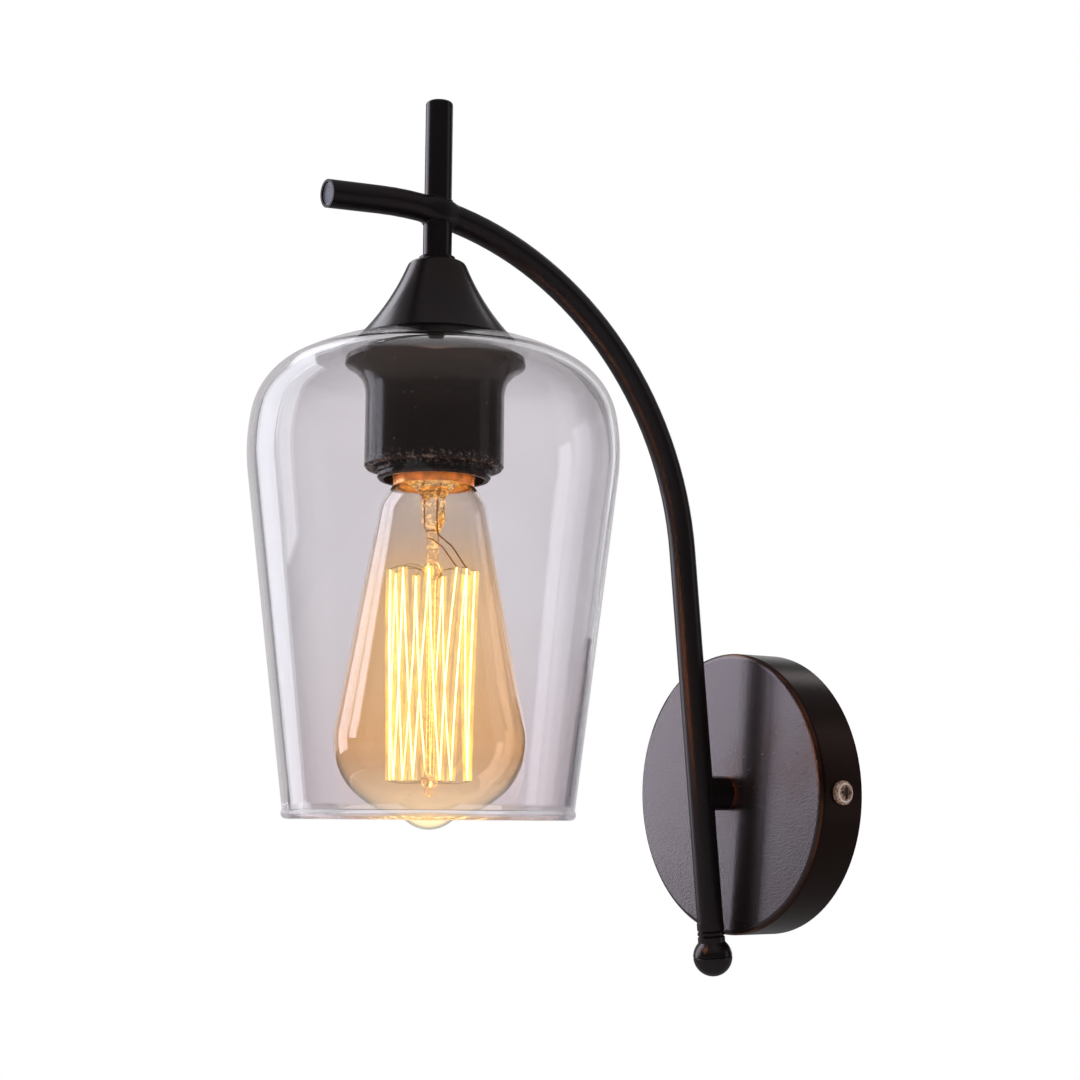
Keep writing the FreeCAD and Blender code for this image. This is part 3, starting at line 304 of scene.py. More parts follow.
world = bpy.data.worlds.new("studio")
bpy.context.scene.world = world
world.use_nodes = True
studio = Graph(world.node_tree)
camera_ray, glossy_ray, glass_ray, bounced = studio.ray(
    "Is Camera Ray", "Is Glossy Ray", "Is Transmission Ray", "Glossy Depth")
heading = studio.node("ShaderNodeTexCoord", output="Generated")
towards_sweep = studio.node("ShaderNodeVectorMath", {0: heading, 1: SWEEP_HEADING},
                            output="Value", operation="DOT_PRODUCT")
level_x, level_y, upward = (
    studio.node("ShaderNodeSeparateXYZ", {0: heading}, output=number) for number in range(3))
sideways = (level_x * SWEEP_HEADING[0] + level_y * SWEEP_HEADING[1]) / (
    (level_x * level_x + level_y * level_y) ** 0.5)


def sweep(towards, low, high, dark, bright):
    """The brightness of a direction, from the dark room to the middle of the sweep."""
    return studio.node("ShaderNodeMapRange", {
        "Value": towards, "From Min": low, "From Max": high, "To Min": dark,
        "To Max": bright}, interpolation_type="SMOOTHSTEP")


# The camera sees white, also straight through glass. What mirrors the room sees the sweep, the
# ceiling and the dark, and what the light falls on is lit evenly.
mirrored = sweep(towards_sweep, 0.80, 0.96, ROOM_GLOSS, SWEEP_GLOSS) + sweep(
    upward, 0.20, 0.75, 0.0, CEILING_GLOSS)
straight = 1 - bounced.any()
through = straight + (1 - straight) * sweep(sideways, 0.55, 0.90, ROOM_THROUGH, 1.0)
other = glossy_ray * mirrored + (1 - glossy_ray) * ROOM_LIGHT
level = camera_ray + (1 - camera_ray) * (glass_ray * through + (1 - glass_ray) * other)
background = studio.node("ShaderNodeBackground", {"Color": WHITE, "Strength": level})
studio.node("ShaderNodeOutputWorld", {"Surface": background})
bpy.context.scene.view_settings.view_transform = "Standard"
print("world nodes", len(world.node_tree.nodes))

# %% The floor of the sweep
FLOOR_LEVEL, FLOOR_SIZE = -0.34, 12.0
POOL_Y, POOL_NEAR, POOL_FAR = -0.10, 0.25, 0.95
floor = added("floor", level_quad("floor", FLOOR_SIZE, FLOOR_SIZE, FLOOR_LEVEL))
paper = Finish("white_paper")
seen, seen_through, reflections = paper.ray(
    "Is Camera Ray", "Is Transmission Ray", "Glossy Depth")
far_off = paper.between(paper.from_line(0, 1, 0.0, POOL_Y), POOL_NEAR, POOL_FAR)
lit_paper = paper.blended((seen + seen_through) * (far_off * 0.08 + 0.92),
                          paper.node("ShaderNodeBsdfDiffuse", {"Color": (0.93, 0.93, 0.93)}),
                          paper.light(WHITE, 1.0))
lit_paper = paper.blended(reflections.any() * 0.8, lit_paper,
                          paper.light((1.0, 0.98, 0.98), 0.05))
underneath = paper.node("ShaderNodeNewGeometry", output="Backfacing")
floor.data.materials.append(paper.done(paper.blended(underneath, lit_paper, paper.clear())))

# %% [markdown]
# ## Black bronze lacquer
# The metal is steel under a dark, slightly metallic lacquer. It is nearly black where the
# room is dark and grey-violet where it meets the light, its surface has a fine orange-peel
# grain, and a little copper shows through it in soft patches and on worn edges. All of this
# is noise on the object's own coordinates: it needs no unwrapping, stays sharp from close by
# and has one scale on every piece. Worn edges are masks on a distance or a height.

# %% Lacquer on steel


def lacquer(name, wear=None, tone=(0.064, 0.054, 0.059), gloss=0.22, grain=0.000012,
            thick=None, dark=(0.038, 0.022, 0.019)):
    """Make the dark lacquer. wear is a function that gives a mask of rubbed edges, and thick
    one that gives a mask of the places coloured darker, painted shade on the canopy's side."""
    finish = Finish(name)
    patches = finish.between(finish.noise(0.030, 3.0), 0.45, 0.75)
    colour = finish.mix(patches * 0.35, tone, (0.080, 0.045, 0.035))
    if thick:
        colour = finish.mix(thick(finish), colour, dark)
    if wear:
        colour = finish.mix(wear(finish), colour, (0.62, 0.20, 0.09))
    peel = finish.noise(0.00075, 2.0, 0.6)
    specks = finish.between(finish.noise(0.0016, 2.0), 0.62, 0.74)
    return finish.done(finish.principled(
        Base_Color=colour, Metallic=0.92, Roughness=patches * 0.04 + specks * 0.04 + gloss,
        Normal=finish.bump(peel, grain, 0.5)))


black_bronze = lacquer("black_bronze")

# Where a mask starts and where it is full, in metres from an axis or along one
CANOPY_RIM, CANOPY_FRONT, CANOPY_SIDE_SHADE = (0.0500, 0.0508), (0.0176, 0.0186), (0.0496, 0.0506)
STUB_FOOT, TIP_CUT = (-0.0204, -0.0199), (-0.0003, -0.0001)
TIP_MIDDLE, TIP_DROOP = (-0.18888, 0.19442), math.radians(5.8)


def canopy_wear(finish):
    """Copper shows on the rim between the canopy's face and its side."""
    rim = finish.between(finish.from_line(0, 2), *CANOPY_RIM)
    front = finish.between(finish.axis(1) * -1, *CANOPY_FRONT)
    broken = finish.between(finish.noise(0.012, 3.0), 0.42, 0.62)
    return rim * front * (broken * 0.4 + 0.2)


def canopy_side_shade(finish):
    """Painted shade: the canopy's side is coloured darker and redder than its face."""
    return finish.between(finish.from_line(0, 2), *CANOPY_SIDE_SHADE)


def tip_face(finish):
    """The cut end of the tube is darker than its side."""
    beyond = ((finish.axis(1) - TIP_MIDDLE[0]) * -math.cos(TIP_DROOP)
              + (finish.axis(2) - TIP_MIDDLE[1]) * -math.sin(TIP_DROOP))
    return finish.between(beyond, *TIP_CUT)


def stub_wear(finish):
    """A copper line runs round the stub where it stands on the canopy."""
    foot = finish.between(finish.axis(1), *STUB_FOOT)
    return foot * finish.between(finish.noise(0.008, 2.0), 0.35, 0.55)


# The canopy's lacquer is lighter in tone than the arm's, a lit copy that stands for the light on
# its face, and its darker, redder side is painted shade.
canopy_lacquer = lacquer("canopy_lacquer", canopy_wear, (0.118, 0.100, 0.110),
                         grain=0.00011, thick=canopy_side_shade)
arm_lacquer = lacquer("arm_lacquer", gloss=0.32, thick=tip_face, dark=(0.005, 0.004, 0.005))
stub_lacquer = lacquer("stub_lacquer", stub_wear)

# %% [markdown]
# ## Moulded black plastic
# The shade ring and the lampholder are pressed from black phenolic resin, which is glossier
# and browner than the lacquer, with fine scratches round it and a few specks of dust. The
# scratches are a noise squeezed along the axis, which draws them out round the ring. The
# plated and the plain small parts share one recipe each, with their own tones.

# %% Phenolic resin
RING_LIP_FROM, RING_LIP_TO, RING_FLARE = (0.1035, 0.1062), (0.1075, 0.1105), (0.128, 0.142)


def moulded(name):
    """Black resin, rubbed along the ring's lip, and browner on its flare as a painted glow."""
    finish = Finish(name)
    scratches = finish.noise(0.0011, 3.0, 0.7, finish.stretched(0.12, 3.5))
    marks = finish.between(scratches, 0.66, 0.74)
    dust = finish.between(finish.noise(0.0013, 1.0), 0.76, 0.80)
    height = finish.axis(2)
    lip = (finish.between(height, *RING_LIP_FROM)
           * (1 - finish.between(height, *RING_LIP_TO)))
    rub = lip * finish.between(finish.noise(0.0016, 3.0, 0.7), 0.50, 0.66)
    # Painted glow: the resin is coloured browner from the flare up.
    warm = finish.between(height, *RING_FLARE)
    colour = finish.mix(warm * 0.7, (0.020, 0.014, 0.012), (0.050, 0.032, 0.024))
    colour = finish.mix(rub * 0.4 + dust * 0.3, colour, (0.34, 0.26, 0.22))
    return finish.done(finish.principled(
        Base_Color=colour, Roughness=marks * 0.05 + rub * 0.25 + 0.17, IOR=1.5,
        Coat_Weight=0.15, Coat_Roughness=0.1,
        Normal=finish.bump(finish.noise(0.0009, 2.0), 0.00004, 0.3)))


resin = moulded("black_resin")

# %% Plated steel, brass and the small parts


def plated(name, tone, gloss=0.28):
    finish = Finish(name)
    brushed = finish.noise(0.0008, 3.0, 0.7, finish.stretched(1.0, 0.12))
    cloud = finish.between(finish.noise(0.008, 3.0), 0.35, 0.7)
    colour = finish.mix(cloud * 0.5, tone, tuple(0.72 * part for part in tone))
    roughness = brushed * 0.16 + cloud * 0.08 + (gloss - 0.1)
    return finish.done(finish.principled(
        Base_Color=colour, Metallic=1.0, Roughness=roughness,
        Normal=finish.bump(brushed, 0.00003, 0.4)))


zinc = plated("zinc_plate", (0.62, 0.60, 0.57))
brass = plated("brass", (0.80, 0.58, 0.27))
nickel = plated("nickel_wire", (0.66, 0.62, 0.58), 0.24)
copper_wire = plated("copper_wire", (0.55, 0.26, 0.14), 0.3)
CAP_GLOW_MOUTH = (0.1018, 0.1050)
SCREW_HEAD, SCREW_RECESS_SHADE = (-0.0095, 0.0), (0.0012, 0.0024)
SCREW_HIGHLIGHT_FROM, SCREW_HIGHLIGHT_TO = (0.0027, 0.0030), (0.0033, 0.0036)
PLUG_MIDDLE, PLUG_EDGE, RINGS_PER_METRE = (0.0, -0.18828, 0.19448), (0.0031, 0.0036), 5200.0


def lit_brass(name):
    """Warm brass cap, with a painted orange glow at its mouth for the filament's light."""
    finish = Finish(name)
    brushed = finish.noise(0.0008, 3.0, 0.7, finish.stretched(0.15, 1.0))
    mouth = 1 - finish.between(finish.axis(2), *CAP_GLOW_MOUTH)
    uneven = finish.between(finish.noise(0.0035, 3.0), 0.30, 0.70)
    # Painted glow: orange emission on the brass near the cap's opening, for the filament's light
    # on it.
    glow = finish.mix(mouth * (uneven * 0.5 + 0.5), (0.0, 0.0, 0.0), (0.80, 0.21, 0.04))
    return finish.done(finish.principled(
        Base_Color=finish.mix(brushed, (0.80, 0.56, 0.26), (0.66, 0.44, 0.19)), Metallic=1.0,
        Roughness=brushed * 0.14 + 0.2, Normal=finish.bump(brushed, 0.00003, 0.4),
        Emission_Color=glow, Emission_Strength=1.0))


cap_brass = lit_brass("lit_brass")


def screw_plate(name):
    """Copper-coloured nickel screws: a painted highlight at the rim, painted shade in the
    recess.
    """
    finish = Finish(name)
    out = finish.from_line(1, 2, *SCREW_HEAD)
    rim = finish.between(out, *SCREW_HIGHLIGHT_FROM) * (1 - finish.between(out, *SCREW_HIGHLIGHT_TO))
    recess_shade = 1 - finish.between(out, *SCREW_RECESS_SHADE)
    brushed = finish.between(finish.noise(0.0008, 3.0, 0.7), 0.30, 0.70)
    colour = finish.mix(brushed, (0.16, 0.075, 0.045), (0.80, 0.52, 0.40))
    # Painted highlight round the rim, then painted shade in the recess.
    colour = finish.mix(rim * 0.9, colour, (1.0, 0.84, 0.76))
    colour = finish.mix(recess_shade * 0.8, colour, (0.06, 0.03, 0.025))
    return finish.done(finish.principled(
        Base_Color=colour, Metallic=0.45, Roughness=brushed * 0.2 + 0.14,
        Normal=finish.bump(brushed, 0.00006, 0.5)))


def plug_plate(name):
    """The tube's plug is grey, turned in fine rings, with a bright edge."""
    finish = Finish(name)
    out = finish.node("ShaderNodeVectorMath", {0: finish.place, 1: PLUG_MIDDLE},
                      output="Value", operation="DISTANCE")
    rings = out.math("SINE", out * RINGS_PER_METRE) * 0.5 + 0.5
    edge = finish.between(out, *PLUG_EDGE)
    cloud = finish.between(finish.noise(0.0014, 3.0, 0.7), 0.3, 0.7)
    colour = finish.mix(rings * 0.5 + cloud * 0.5, (0.050, 0.047, 0.062), (0.150, 0.145, 0.180))
    return finish.done(finish.principled(
        Base_Color=finish.mix(edge * 0.8, colour, (0.55, 0.53, 0.58)), Metallic=0.6,
        Roughness=cloud * 0.1 + 0.4, Normal=finish.bump(rings, 0.00003, 0.4)))


screw_bronze = screw_plate("nickel_bronze")
plug_grey = plug_plate("grey_plug")


def moulded_plain(name, tone, gloss, coat=0.0):
    finish = Finish(name)
    cloud = finish.between(finish.noise(0.006, 3.0), 0.3, 0.7)
    fine = finish.noise(0.0007, 2.0)
    colour = finish.mix(cloud * 0.3, tone, tuple(0.82 * part for part in tone))
    return finish.done(finish.principled(
        Base_Color=colour, Roughness=cloud * 0.1 + gloss, Coat_Weight=coat,
        Normal=finish.bump(fine, 0.00004, 0.3)))


porcelain = moulded_plain("glazed_porcelain", (0.86, 0.84, 0.79), 0.18, 0.5)
milky = moulded_plain("milky_plastic", (0.80, 0.80, 0.77), 0.38)
brown_sleeve = moulded_plain("brown_sleeve", (0.20, 0.09, 0.045), 0.36)
blue_sleeve = moulded_plain("blue_sleeve", (0.035, 0.11, 0.36), 0.36)
black_glass = moulded_plain("black_glass", (0.015, 0.015, 0.02), 0.14, 0.5)

# %% [markdown]
# ## Glass
# Clear glass bends what lies behind it, and reflects the lights on both its faces. Light that
# only casts shadows passes straight through, or the bulb inside would sit in the dark. Both
# glasses are closed shells with a real wall, so that the bending and the double highlights
# come by themselves. Masks are heights in metres: where each starts, and where it is full.

# %% Clear and amber glass
SHADE_FOOT, SHADE_BEAD = (-0.010, 0.070), (-0.0062, -0.0048)
BULB_TIP, BULB_BELLY, BULB_NECK = (-0.012, 0.012), (-0.008, 0.045), (0.062, 0.098)
CAGE_FOOT, CAGE_HEAD = (-0.010, 0.020), (0.055, 0.095)
OUTSIDE_BULB = 2.5


def glass(name, tint, ripple=0.00002, ripple_size=0.03, glow=None,
          shadow_tint=(0.95, 0.94, 0.95), plainer=None, **coat):
    """tint and glow give the glass's colours. plainer gives the share that is plainly clear,
    and the share of that which is darker, a painted shade at the edge."""
    finish = Finish(name)
    waves = finish.noise(ripple_size, 2.0, 0.4)
    inputs = dict(Base_Color=tint(finish), Roughness=0.0, Transmission_Weight=1.0, IOR=1.5,
                  Normal=finish.bump(waves, ripple, 1.0))
    if glow:
        inputs.update(Emission_Color=glow(finish), Emission_Strength=1.0)
    inputs.update(coat)
    body = finish.principled(**inputs)
    if plainer:
        share, painted_edge_shade = plainer(finish)
        plain = finish.blended(painted_edge_shade, finish.clear((0.915, 0.902, 0.917)),
                               finish.clear((0.800, 0.782, 0.800)))
        body = finish.blended(share, body, plain)
    shadow, spread = finish.ray("Is Shadow Ray", "Is Diffuse Ray")
    return finish.done(finish.blended(shadow.math("MAXIMUM", shadow, spread), body,
                                      finish.clear(shadow_tint)))


def shade_tint(finish):
    """Faint violet grey, uneven as drawn glass is, with painted shade darker and pinker at the
    rim.
    """
    drawn = finish.mix(finish.between(finish.noise(0.05, 2.0), 0.3, 0.7),
                       (0.862, 0.838, 0.864), (0.836, 0.808, 0.834))
    # Painted shade: the glass turns darker and pinker towards the rim.
    return finish.mix(finish.between(finish.axis(2), *SHADE_FOOT), (0.820, 0.768, 0.790), drawn)


def shade_plainer(finish):
    """The wall is clearer at a slant, where it also mirrors less, and darker at its very edge as
    painted shade. The fire-polished bead is clearer too."""
    facing = finish.node("ShaderNodeLayerWeight", {"Blend": 0.5}, output="Facing")
    # Painted shade: a darker clear share at the very edge outlines the wall.
    edge = finish.between(facing, 0.70, 0.95)
    slant = finish.between(facing, 0.30, 0.75) * 0.3 + edge * 0.5
    bead_share = 1 - finish.between(finish.axis(2), *SHADE_BEAD)
    return slant.math("MAXIMUM", slant, bead_share * 0.45), edge


def amber_tint(finish):
    """The bulb's lacquered glass is nearly clear at the neck and deepest at the tip."""
    height = finish.axis(2)
    uneven = finish.between(finish.noise(0.030, 2.0), 0.3, 0.7)
    amber = finish.mix(finish.between(height, *BULB_BELLY), (0.990, 0.830, 0.630),
                       (0.990, 0.862, 0.700))
    clear = finish.between(height, *BULB_NECK) * 0.85
    return finish.mix(clear + uneven * 0.12, amber, (0.965, 0.935, 0.905))


def amber_glow(finish):
    """The lit bulb's glass glows faintly where the filament is near, and metal mirrors it far
    brighter, and redder."""
    height = finish.axis(2)
    near = finish.between(height, *CAGE_FOOT) * (1 - finish.between(height, *CAGE_HEAD))
    low = 1 - finish.between(height, *BULB_TIP)
    glow = finish.mix(near, (0.020, 0.008, 0.0), (0.095, 0.048, 0.004))
    glow = finish.mix(low, glow, (0.185, 0.175, 0.130))
    bounces, walls = finish.ray("Glossy Depth", "Transmission Depth")
    mirrored = bounces.any() * walls.math("LESS_THAN", walls, OUTSIDE_BULB)
    return finish.mix(near * mirrored, glow, (1.5, 0.45, 0.13))


def stem_tint(finish):
    """The stem's glass is nearly clear."""
    return finish.mix(finish.noise(0.004), (0.99, 0.94, 0.84), (0.96, 0.86, 0.70))


def stem_painted_glints(finish):
    """Painted glow and gold glints, for the filament's light on the press and the beads."""
    painted_glint = finish.between(finish.noise(0.0012, 2.0), 0.50, 0.68)
    return finish.mix(painted_glint, (0.06, 0.030, 0.008), (0.85, 0.47, 0.12))


shade_glass = glass("shade_glass", shade_tint, plainer=shade_plainer)
amber_glass = glass("amber_glass", amber_tint, ripple=0.00003, glow=amber_glow,
                    shadow_tint=(0.97, 0.86, 0.66), Coat_Weight=1.0, Coat_IOR=1.8,
                    Coat_Roughness=0.0)
stem_glass = glass("stem_glass", stem_tint, ripple=0.00006, ripple_size=0.004,
                   glow=stem_painted_glints)

# %% The glowing filament and its halo
SEEN_STRENGTH, MIRRORED_STRENGTH = 3.8, 0.6


def glowing(name):
    """A camera shows the hot wire white. Lacquer and glass mirror it as a faint orange."""
    finish = Finish(name)
    hot = finish.between(finish.noise(0.006, 2.0), 0.35, 0.65)
    hot_wire = finish.principled(
        Base_Color=(0.9, 0.6, 0.2), Roughness=0.5,
        Emission_Color=finish.mix(hot, (1.0, 0.88, 0.54), (1.0, 0.96, 0.82)),
        Emission_Strength=SEEN_STRENGTH)
    bright = finish.light((1.0, 0.42, 0.08), MIRRORED_STRENGTH)
    return finish.done(finish.blended(finish.ray("Glossy Depth").any(), hot_wire, bright))


def halo(name, colour, strength, filter_tint):
    """The gold veil that a lens adds round a lit filament."""
    finish = Finish(name)
    veil = finish.node("ShaderNodeAddShader", {
        0: finish.clear(filter_tint), 1: finish.light(colour, strength)})
    uneven = finish.between(finish.noise(0.006, 2.0), 0.3, 0.7)
    return finish.done(finish.blended(uneven * 0.7 + 0.3, finish.clear(), veil))


filament_hot = glowing("glowing_filament")
near_halo = halo("near_halo", (1.0, 0.90, 0.30), 0.245, (1.0, 0.99, 0.86))

# %% Give every node its finish
FINISHES = {
    canopy_lacquer: ["canopy"],
    black_bronze: ["ball_finial", "upper_rod", "lower_stem", "stem_collar", "cone_cap"],
    arm_lacquer: ["arm_tube"],
    stub_lacquer: ["arm_stub"],
    plug_grey: ["arm_tip_plug"],
    zinc: ["wall_bracket", "stub_nipple", "stub_washer", "stub_nut", "stem_nipple",
           "cone_nut", "ground_washer"],
    screw_bronze: ["canopy_side_screws"],
    brass: ["ground_screw", "contact_spring", "socket_terminals", "connector_poles",
            "bulb_end_contact"],
    nickel: ["socket_terminal_screws", "connector_screws"],
    resin: ["shade_ring", "lampholder_sleeve", "lampholder_cap"],
    porcelain: ["lampholder_insert"],
    milky: ["terminal_block"],
    black_glass: ["bulb_insulator"],
}


def dress(node, material):
    mesh = nodes[node].data
    mesh.materials.clear()
    mesh.materials.append(material)


for material, names in FINISHES.items():
    for name in names:
        dress(name, material)
dressed = {name for names in FINISHES.values() for name in names}
print("dressed nodes", len(dressed), "to be replaced", sorted(set(nodes) - dressed))

# %% [markdown]
# ## Turned pieces
# The two glasses are blown and fire-polished, so their outlines are arcs that flow into each
# other. They are turned here about the pendant's axis, far finer than the construction model,
# because glass shows every facet. All these sizes are in millimetres.

# %% Outlines and the lathe
SHARP_ANGLE = 35.0


def ring_angles(count):
    """Even turns all round, in radians."""
    return [2 * math.pi * number / count for number in range(count)]


def trace(corners, step=3.0):
    """Follow corners (radius, height). A third number is the radius of the arc that ends there,
    which has its centre on the left and a point at least every step degrees."""
    spots = [Vector(corners[0])]
    for across, up, *bow in corners[1:]:
        start, end = spots[-1], Vector((across, up))
        if bow:
            chord = end - start
            left = Vector((-chord.y, chord.x)).normalized()
            centre = (start + end) / 2 + left * (bow[0] ** 2 - chord.length_squared / 4) ** 0.5
            sweep_angle = 2 * math.asin(chord.length / 2 / bow[0])
            count = max(2, math.ceil(math.degrees(sweep_angle) / step))
            for number in range(1, count):
                swung = Matrix.Rotation(sweep_angle * number / count, 2) @ (start - centre)
                spots.append(centre + swung)
        spots.append(end)
    return spots


def inset(spots, wall):
    """Shift an outline to its left by a wall."""
    shifted = []
    for number, spot in enumerate(spots):
        before = spots[max(number - 1, 0)]
        after = spots[min(number + 1, len(spots) - 1)]
        along = (after - before).normalized()
        if spot.x == 0:
            along = Vector((1, 0))
        shifted.append(spot + Vector((-along.y, along.x)) * wall)
    return shifted


def piece(name, mesh, body, slot, *replaced):
    """Put a mesh into the scene as a piece that rides on a body."""
    made = added(name, mesh)
    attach(made, body)
    for node in replaced:
        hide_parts(node)
    print("piece", name, len(mesh.vertices), "points")


def skinned(name, rows, material):
    """Join rows of points into a smooth mesh. A row of one point is a pole. Unless the rows
    start at a pole, the last joins the first."""
    built = bmesh.new()
    rings = [[built.verts.new(spot) for spot in row] for row in rows]
    if len(rows[0]) > 1:
        rings.append(rings[0])
    for low, high in zip(rings, rings[1:]):
        count = max(len(low), len(high))
        for number in range(count):
            after = (number + 1) % count
            corners = [low[number % len(low)], low[after % len(low)],
                       high[after % len(high)], high[number % len(high)]]
            built.faces.new(list(dict.fromkeys(corners)))
    bmesh.ops.recalc_face_normals(built, faces=built.faces)
    mesh = bpy.data.meshes.new(name)
    built.to_mesh(mesh)
    built.free()
    mesh.shade_smooth()
    mesh.set_sharp_from_angle(angle=math.radians(SHARP_ANGLE))
    mesh.materials.append(material)
    return mesh


def turned(name, spots, turns, material, flat=lambda up: 1.0):
    """Turn an outline about the pendant's axis. flat squeezes it along Y at a height."""
    rows = []
    for across, up in spots:
        angles = ring_angles(turns if across > 1e-6 else 1)
        rows.append([((across * math.cos(angle)) * MM,
                      (PENDANT_Y + across * flat(up) * math.sin(angle)) * MM, up * MM)
                     for angle in angles])
    return skinned(name, rows, material)


print("lathe ready")

# %% The shade's glass
GLASS_WALL, SHADE_TURNS = 2.5, 192
BEAD_CENTRE, BEAD_RADIUS, BEAD_STEPS = Vector((46.556, -8.426)), 1.8, 24
BEAD_FROM, BEAD_TO = 38.8, -233.2
shade_outside = trace([(48.02, -6.70), (61.976, 103.739), (61.322, 124.535, 66.5),
                       (48.140, 142.285, 25.4), (21.5, 151.052, 86.0)], 2.0)
shade_inside = inset(shade_outside, GLASS_WALL)
neck = [Vector((20.9, 150.6)), Vector((20.7, 149.9)), Vector((20.9, 149.1))]
bead = []
for number in range(BEAD_STEPS + 1):
    angle = math.radians(BEAD_TO + (BEAD_FROM - BEAD_TO) * number / BEAD_STEPS)
    bead.append(BEAD_CENTRE + BEAD_RADIUS * Vector((math.cos(angle), math.sin(angle))))
shade_wall = bead + shade_outside[1:] + neck + shade_inside[:0:-1]
piece("shade_glass", turned("shade_glass", shade_wall, SHADE_TURNS, shade_glass), "shade",
      "shade_glass", "glass_shade")

# %% The bulb's glass
BULB_WALL, BULB_TURNS = 0.8, 160
bulb_outside = trace([(0, -13.446), (8.0, -10.246, 11.6), (23.427, -2.531, 37.0),
                      (31.59, 20.269, 24.0), (18.6, 89.683), (13.4, 100.554, 17.0),
                      (12.8, 100.9), (12.8, 103.154)])
bulb_wall = bulb_outside + inset(bulb_outside, BULB_WALL)[::-1]
piece("bulb_blown_glass", turned("bulb_blown_glass", bulb_wall, BULB_TURNS, amber_glass),
      "bulb", "amber_glass", "bulb_glass")

# %% [markdown]
# ## Inside the bulb
# A glass stem hangs from the neck: a flare, a flat press with two wires sealed in it, and a
# rod with two beads. Fine hooks stand out of the beads all round, and the filament runs up
# and down between them, its two ends held by the wires from the press. Thin, half clear
# tubes round the filament stand for the gold veil that a lens adds. Curves with a bevel would
# do for the wires, but a Geometry Nodes tree sweeps them all alike, and another sets the
# hooks round a bead by count and angle.

# %% The glass stem
HOOKS_HIGH, HOOKS_LOW = 71.854, 2.554
PRESS_HEIGHT, PRESS_HALF, STEM_TURNS = 91.0, 7.0, 64
stem_spots = trace([
    (0, HOOKS_LOW - 5.6), (1.5, HOOKS_LOW - 4.6, 1.8), (1.6, HOOKS_LOW - 2.2),
    (3.0, HOOKS_LOW, 2.9), (1.6, HOOKS_LOW + 2.0, 2.9), (1.7, HOOKS_HIGH - 2.8),
    (3.6, HOOKS_HIGH, 3.2), (2.1, HOOKS_HIGH + 2.6, 3.2), (2.1, 84.4), (3.4, 86.4),
    (5.2, 88.6), (5.2, 94.6), (4.4, 96.2), (5.2, 98.8), (8.2, 101.4), (11.6, 103.0),
    (0, 103.1)], 12.0)


def pressed(up):
    """The press is half as thick as it is wide."""
    return 1.0 - 0.5 * max(0.0, 1.0 - abs(up - PRESS_HEIGHT) / PRESS_HALF)


piece("bulb_glass_stem", turned("bulb_glass_stem", stem_spots, STEM_TURNS, stem_glass, pressed),
      "bulb", "stem_glass", "bulb_stem")

# %% Wire along a path, with Geometry Nodes


class Recipe(Graph):
    """A geometry tree that takes an object's shape, named sizes and a material."""

    def __init__(self, name, **kinds):
        super().__init__(bpy.data.node_groups.new(name, "GeometryNodeTree"))
        self.sockets = {
            label: self.tree.interface.new_socket(
                label, in_out="INPUT", socket_type="NodeSocket" + kind).identifier
            for label, kind in (("Geometry", "Geometry"), *kinds.items(),
                                ("Finish", "Material"))}
        self.tree.interface.new_socket("Geometry", in_out="OUTPUT",
                                       socket_type="NodeSocketGeometry")
        given = self.node("NodeGroupInput").socket.node
        self.sized = {label: Signal(self.tree, given.outputs[label]) for label in self.sockets}

    def swept(self, curve, sides, radius):
        """Sweep a round section along a curve."""
        section = self.node("GeometryNodeCurvePrimitiveCircle", {
            "Resolution": sides, "Radius": radius})
        return self.node("GeometryNodeCurveToMesh", {
            "Curve": curve, "Profile Curve": section, "Fill Caps": True})

    def served(self, shape):
        """Give the finished shape its material and hand it over."""
        whole = self.node("GeometryNodeRealizeInstances", {"Geometry": shape})
        smooth = self.node("GeometryNodeSetShadeSmooth", {"Geometry": whole})
        dressed_up = self.node("GeometryNodeSetMaterial", {
            "Geometry": smooth, "Material": self.sized["Finish"]})
        self.node("NodeGroupOutput", {"Geometry": dressed_up})


wire = Recipe("wire", Radius="Float", Sides="Int")
wire.served(wire.swept(wire.sized["Geometry"], wire.sized["Sides"], wire.sized["Radius"]))


def settled(source, name, recipe, **sizes):
    """Run a geometry tree on an object and keep the result as a plain mesh."""
    modifier = source.modifiers.new("tree", "NODES")
    modifier.node_group = recipe.tree
    for label, size in sizes.items():
        modifier[recipe.sockets[label]] = size
    evaluated = source.evaluated_get(bpy.context.evaluated_depsgraph_get())
    mesh = bpy.data.meshes.new_from_object(evaluated)
    mesh.name = name
    bpy.data.objects.remove(source)
    return mesh


def strung(name, runs, radius, material, loop=False, sides=12):
    """Sweep wire along runs of points given in millimetres."""
    curve = bpy.data.curves.new(name + "_path", "CURVE")
    curve.dimensions = "3D"
    for run in runs:
        spline = curve.splines.new("POLY")
        spline.points.add(len(run) - 1)
        spline.use_cyclic_u = loop
        for point, spot in zip(spline.points, run):
            point.co = [part * MM for part in spot] + [1.0]
    return settled(added(name + "_path", curve), name, wire, Radius=radius * MM, Sides=sides,
                   Finish=material)


# %% The filament
STRANDS, CAGE_START, CAGE_TURN = 18, 20.0, 342.0
CAGE_HIGH, CAGE_LOW = 14.2, 13.3
STRAND_RADIUS, VEIL_RADIUS, STRAND_BOW, STRAND_PARTS = 0.27, 1.5, 0.8, 8
wander = random.Random(7)


def cage_corner(number):
    """The filament's bend at a hook, upper and lower in turn."""
    angle = math.radians(CAGE_START + CAGE_TURN * number / STRANDS)
    across, up = (CAGE_LOW, HOOKS_LOW) if number % 2 else (CAGE_HIGH, HOOKS_HIGH)
    return Vector((across * math.cos(angle), PENDANT_Y + across * math.sin(angle), up))


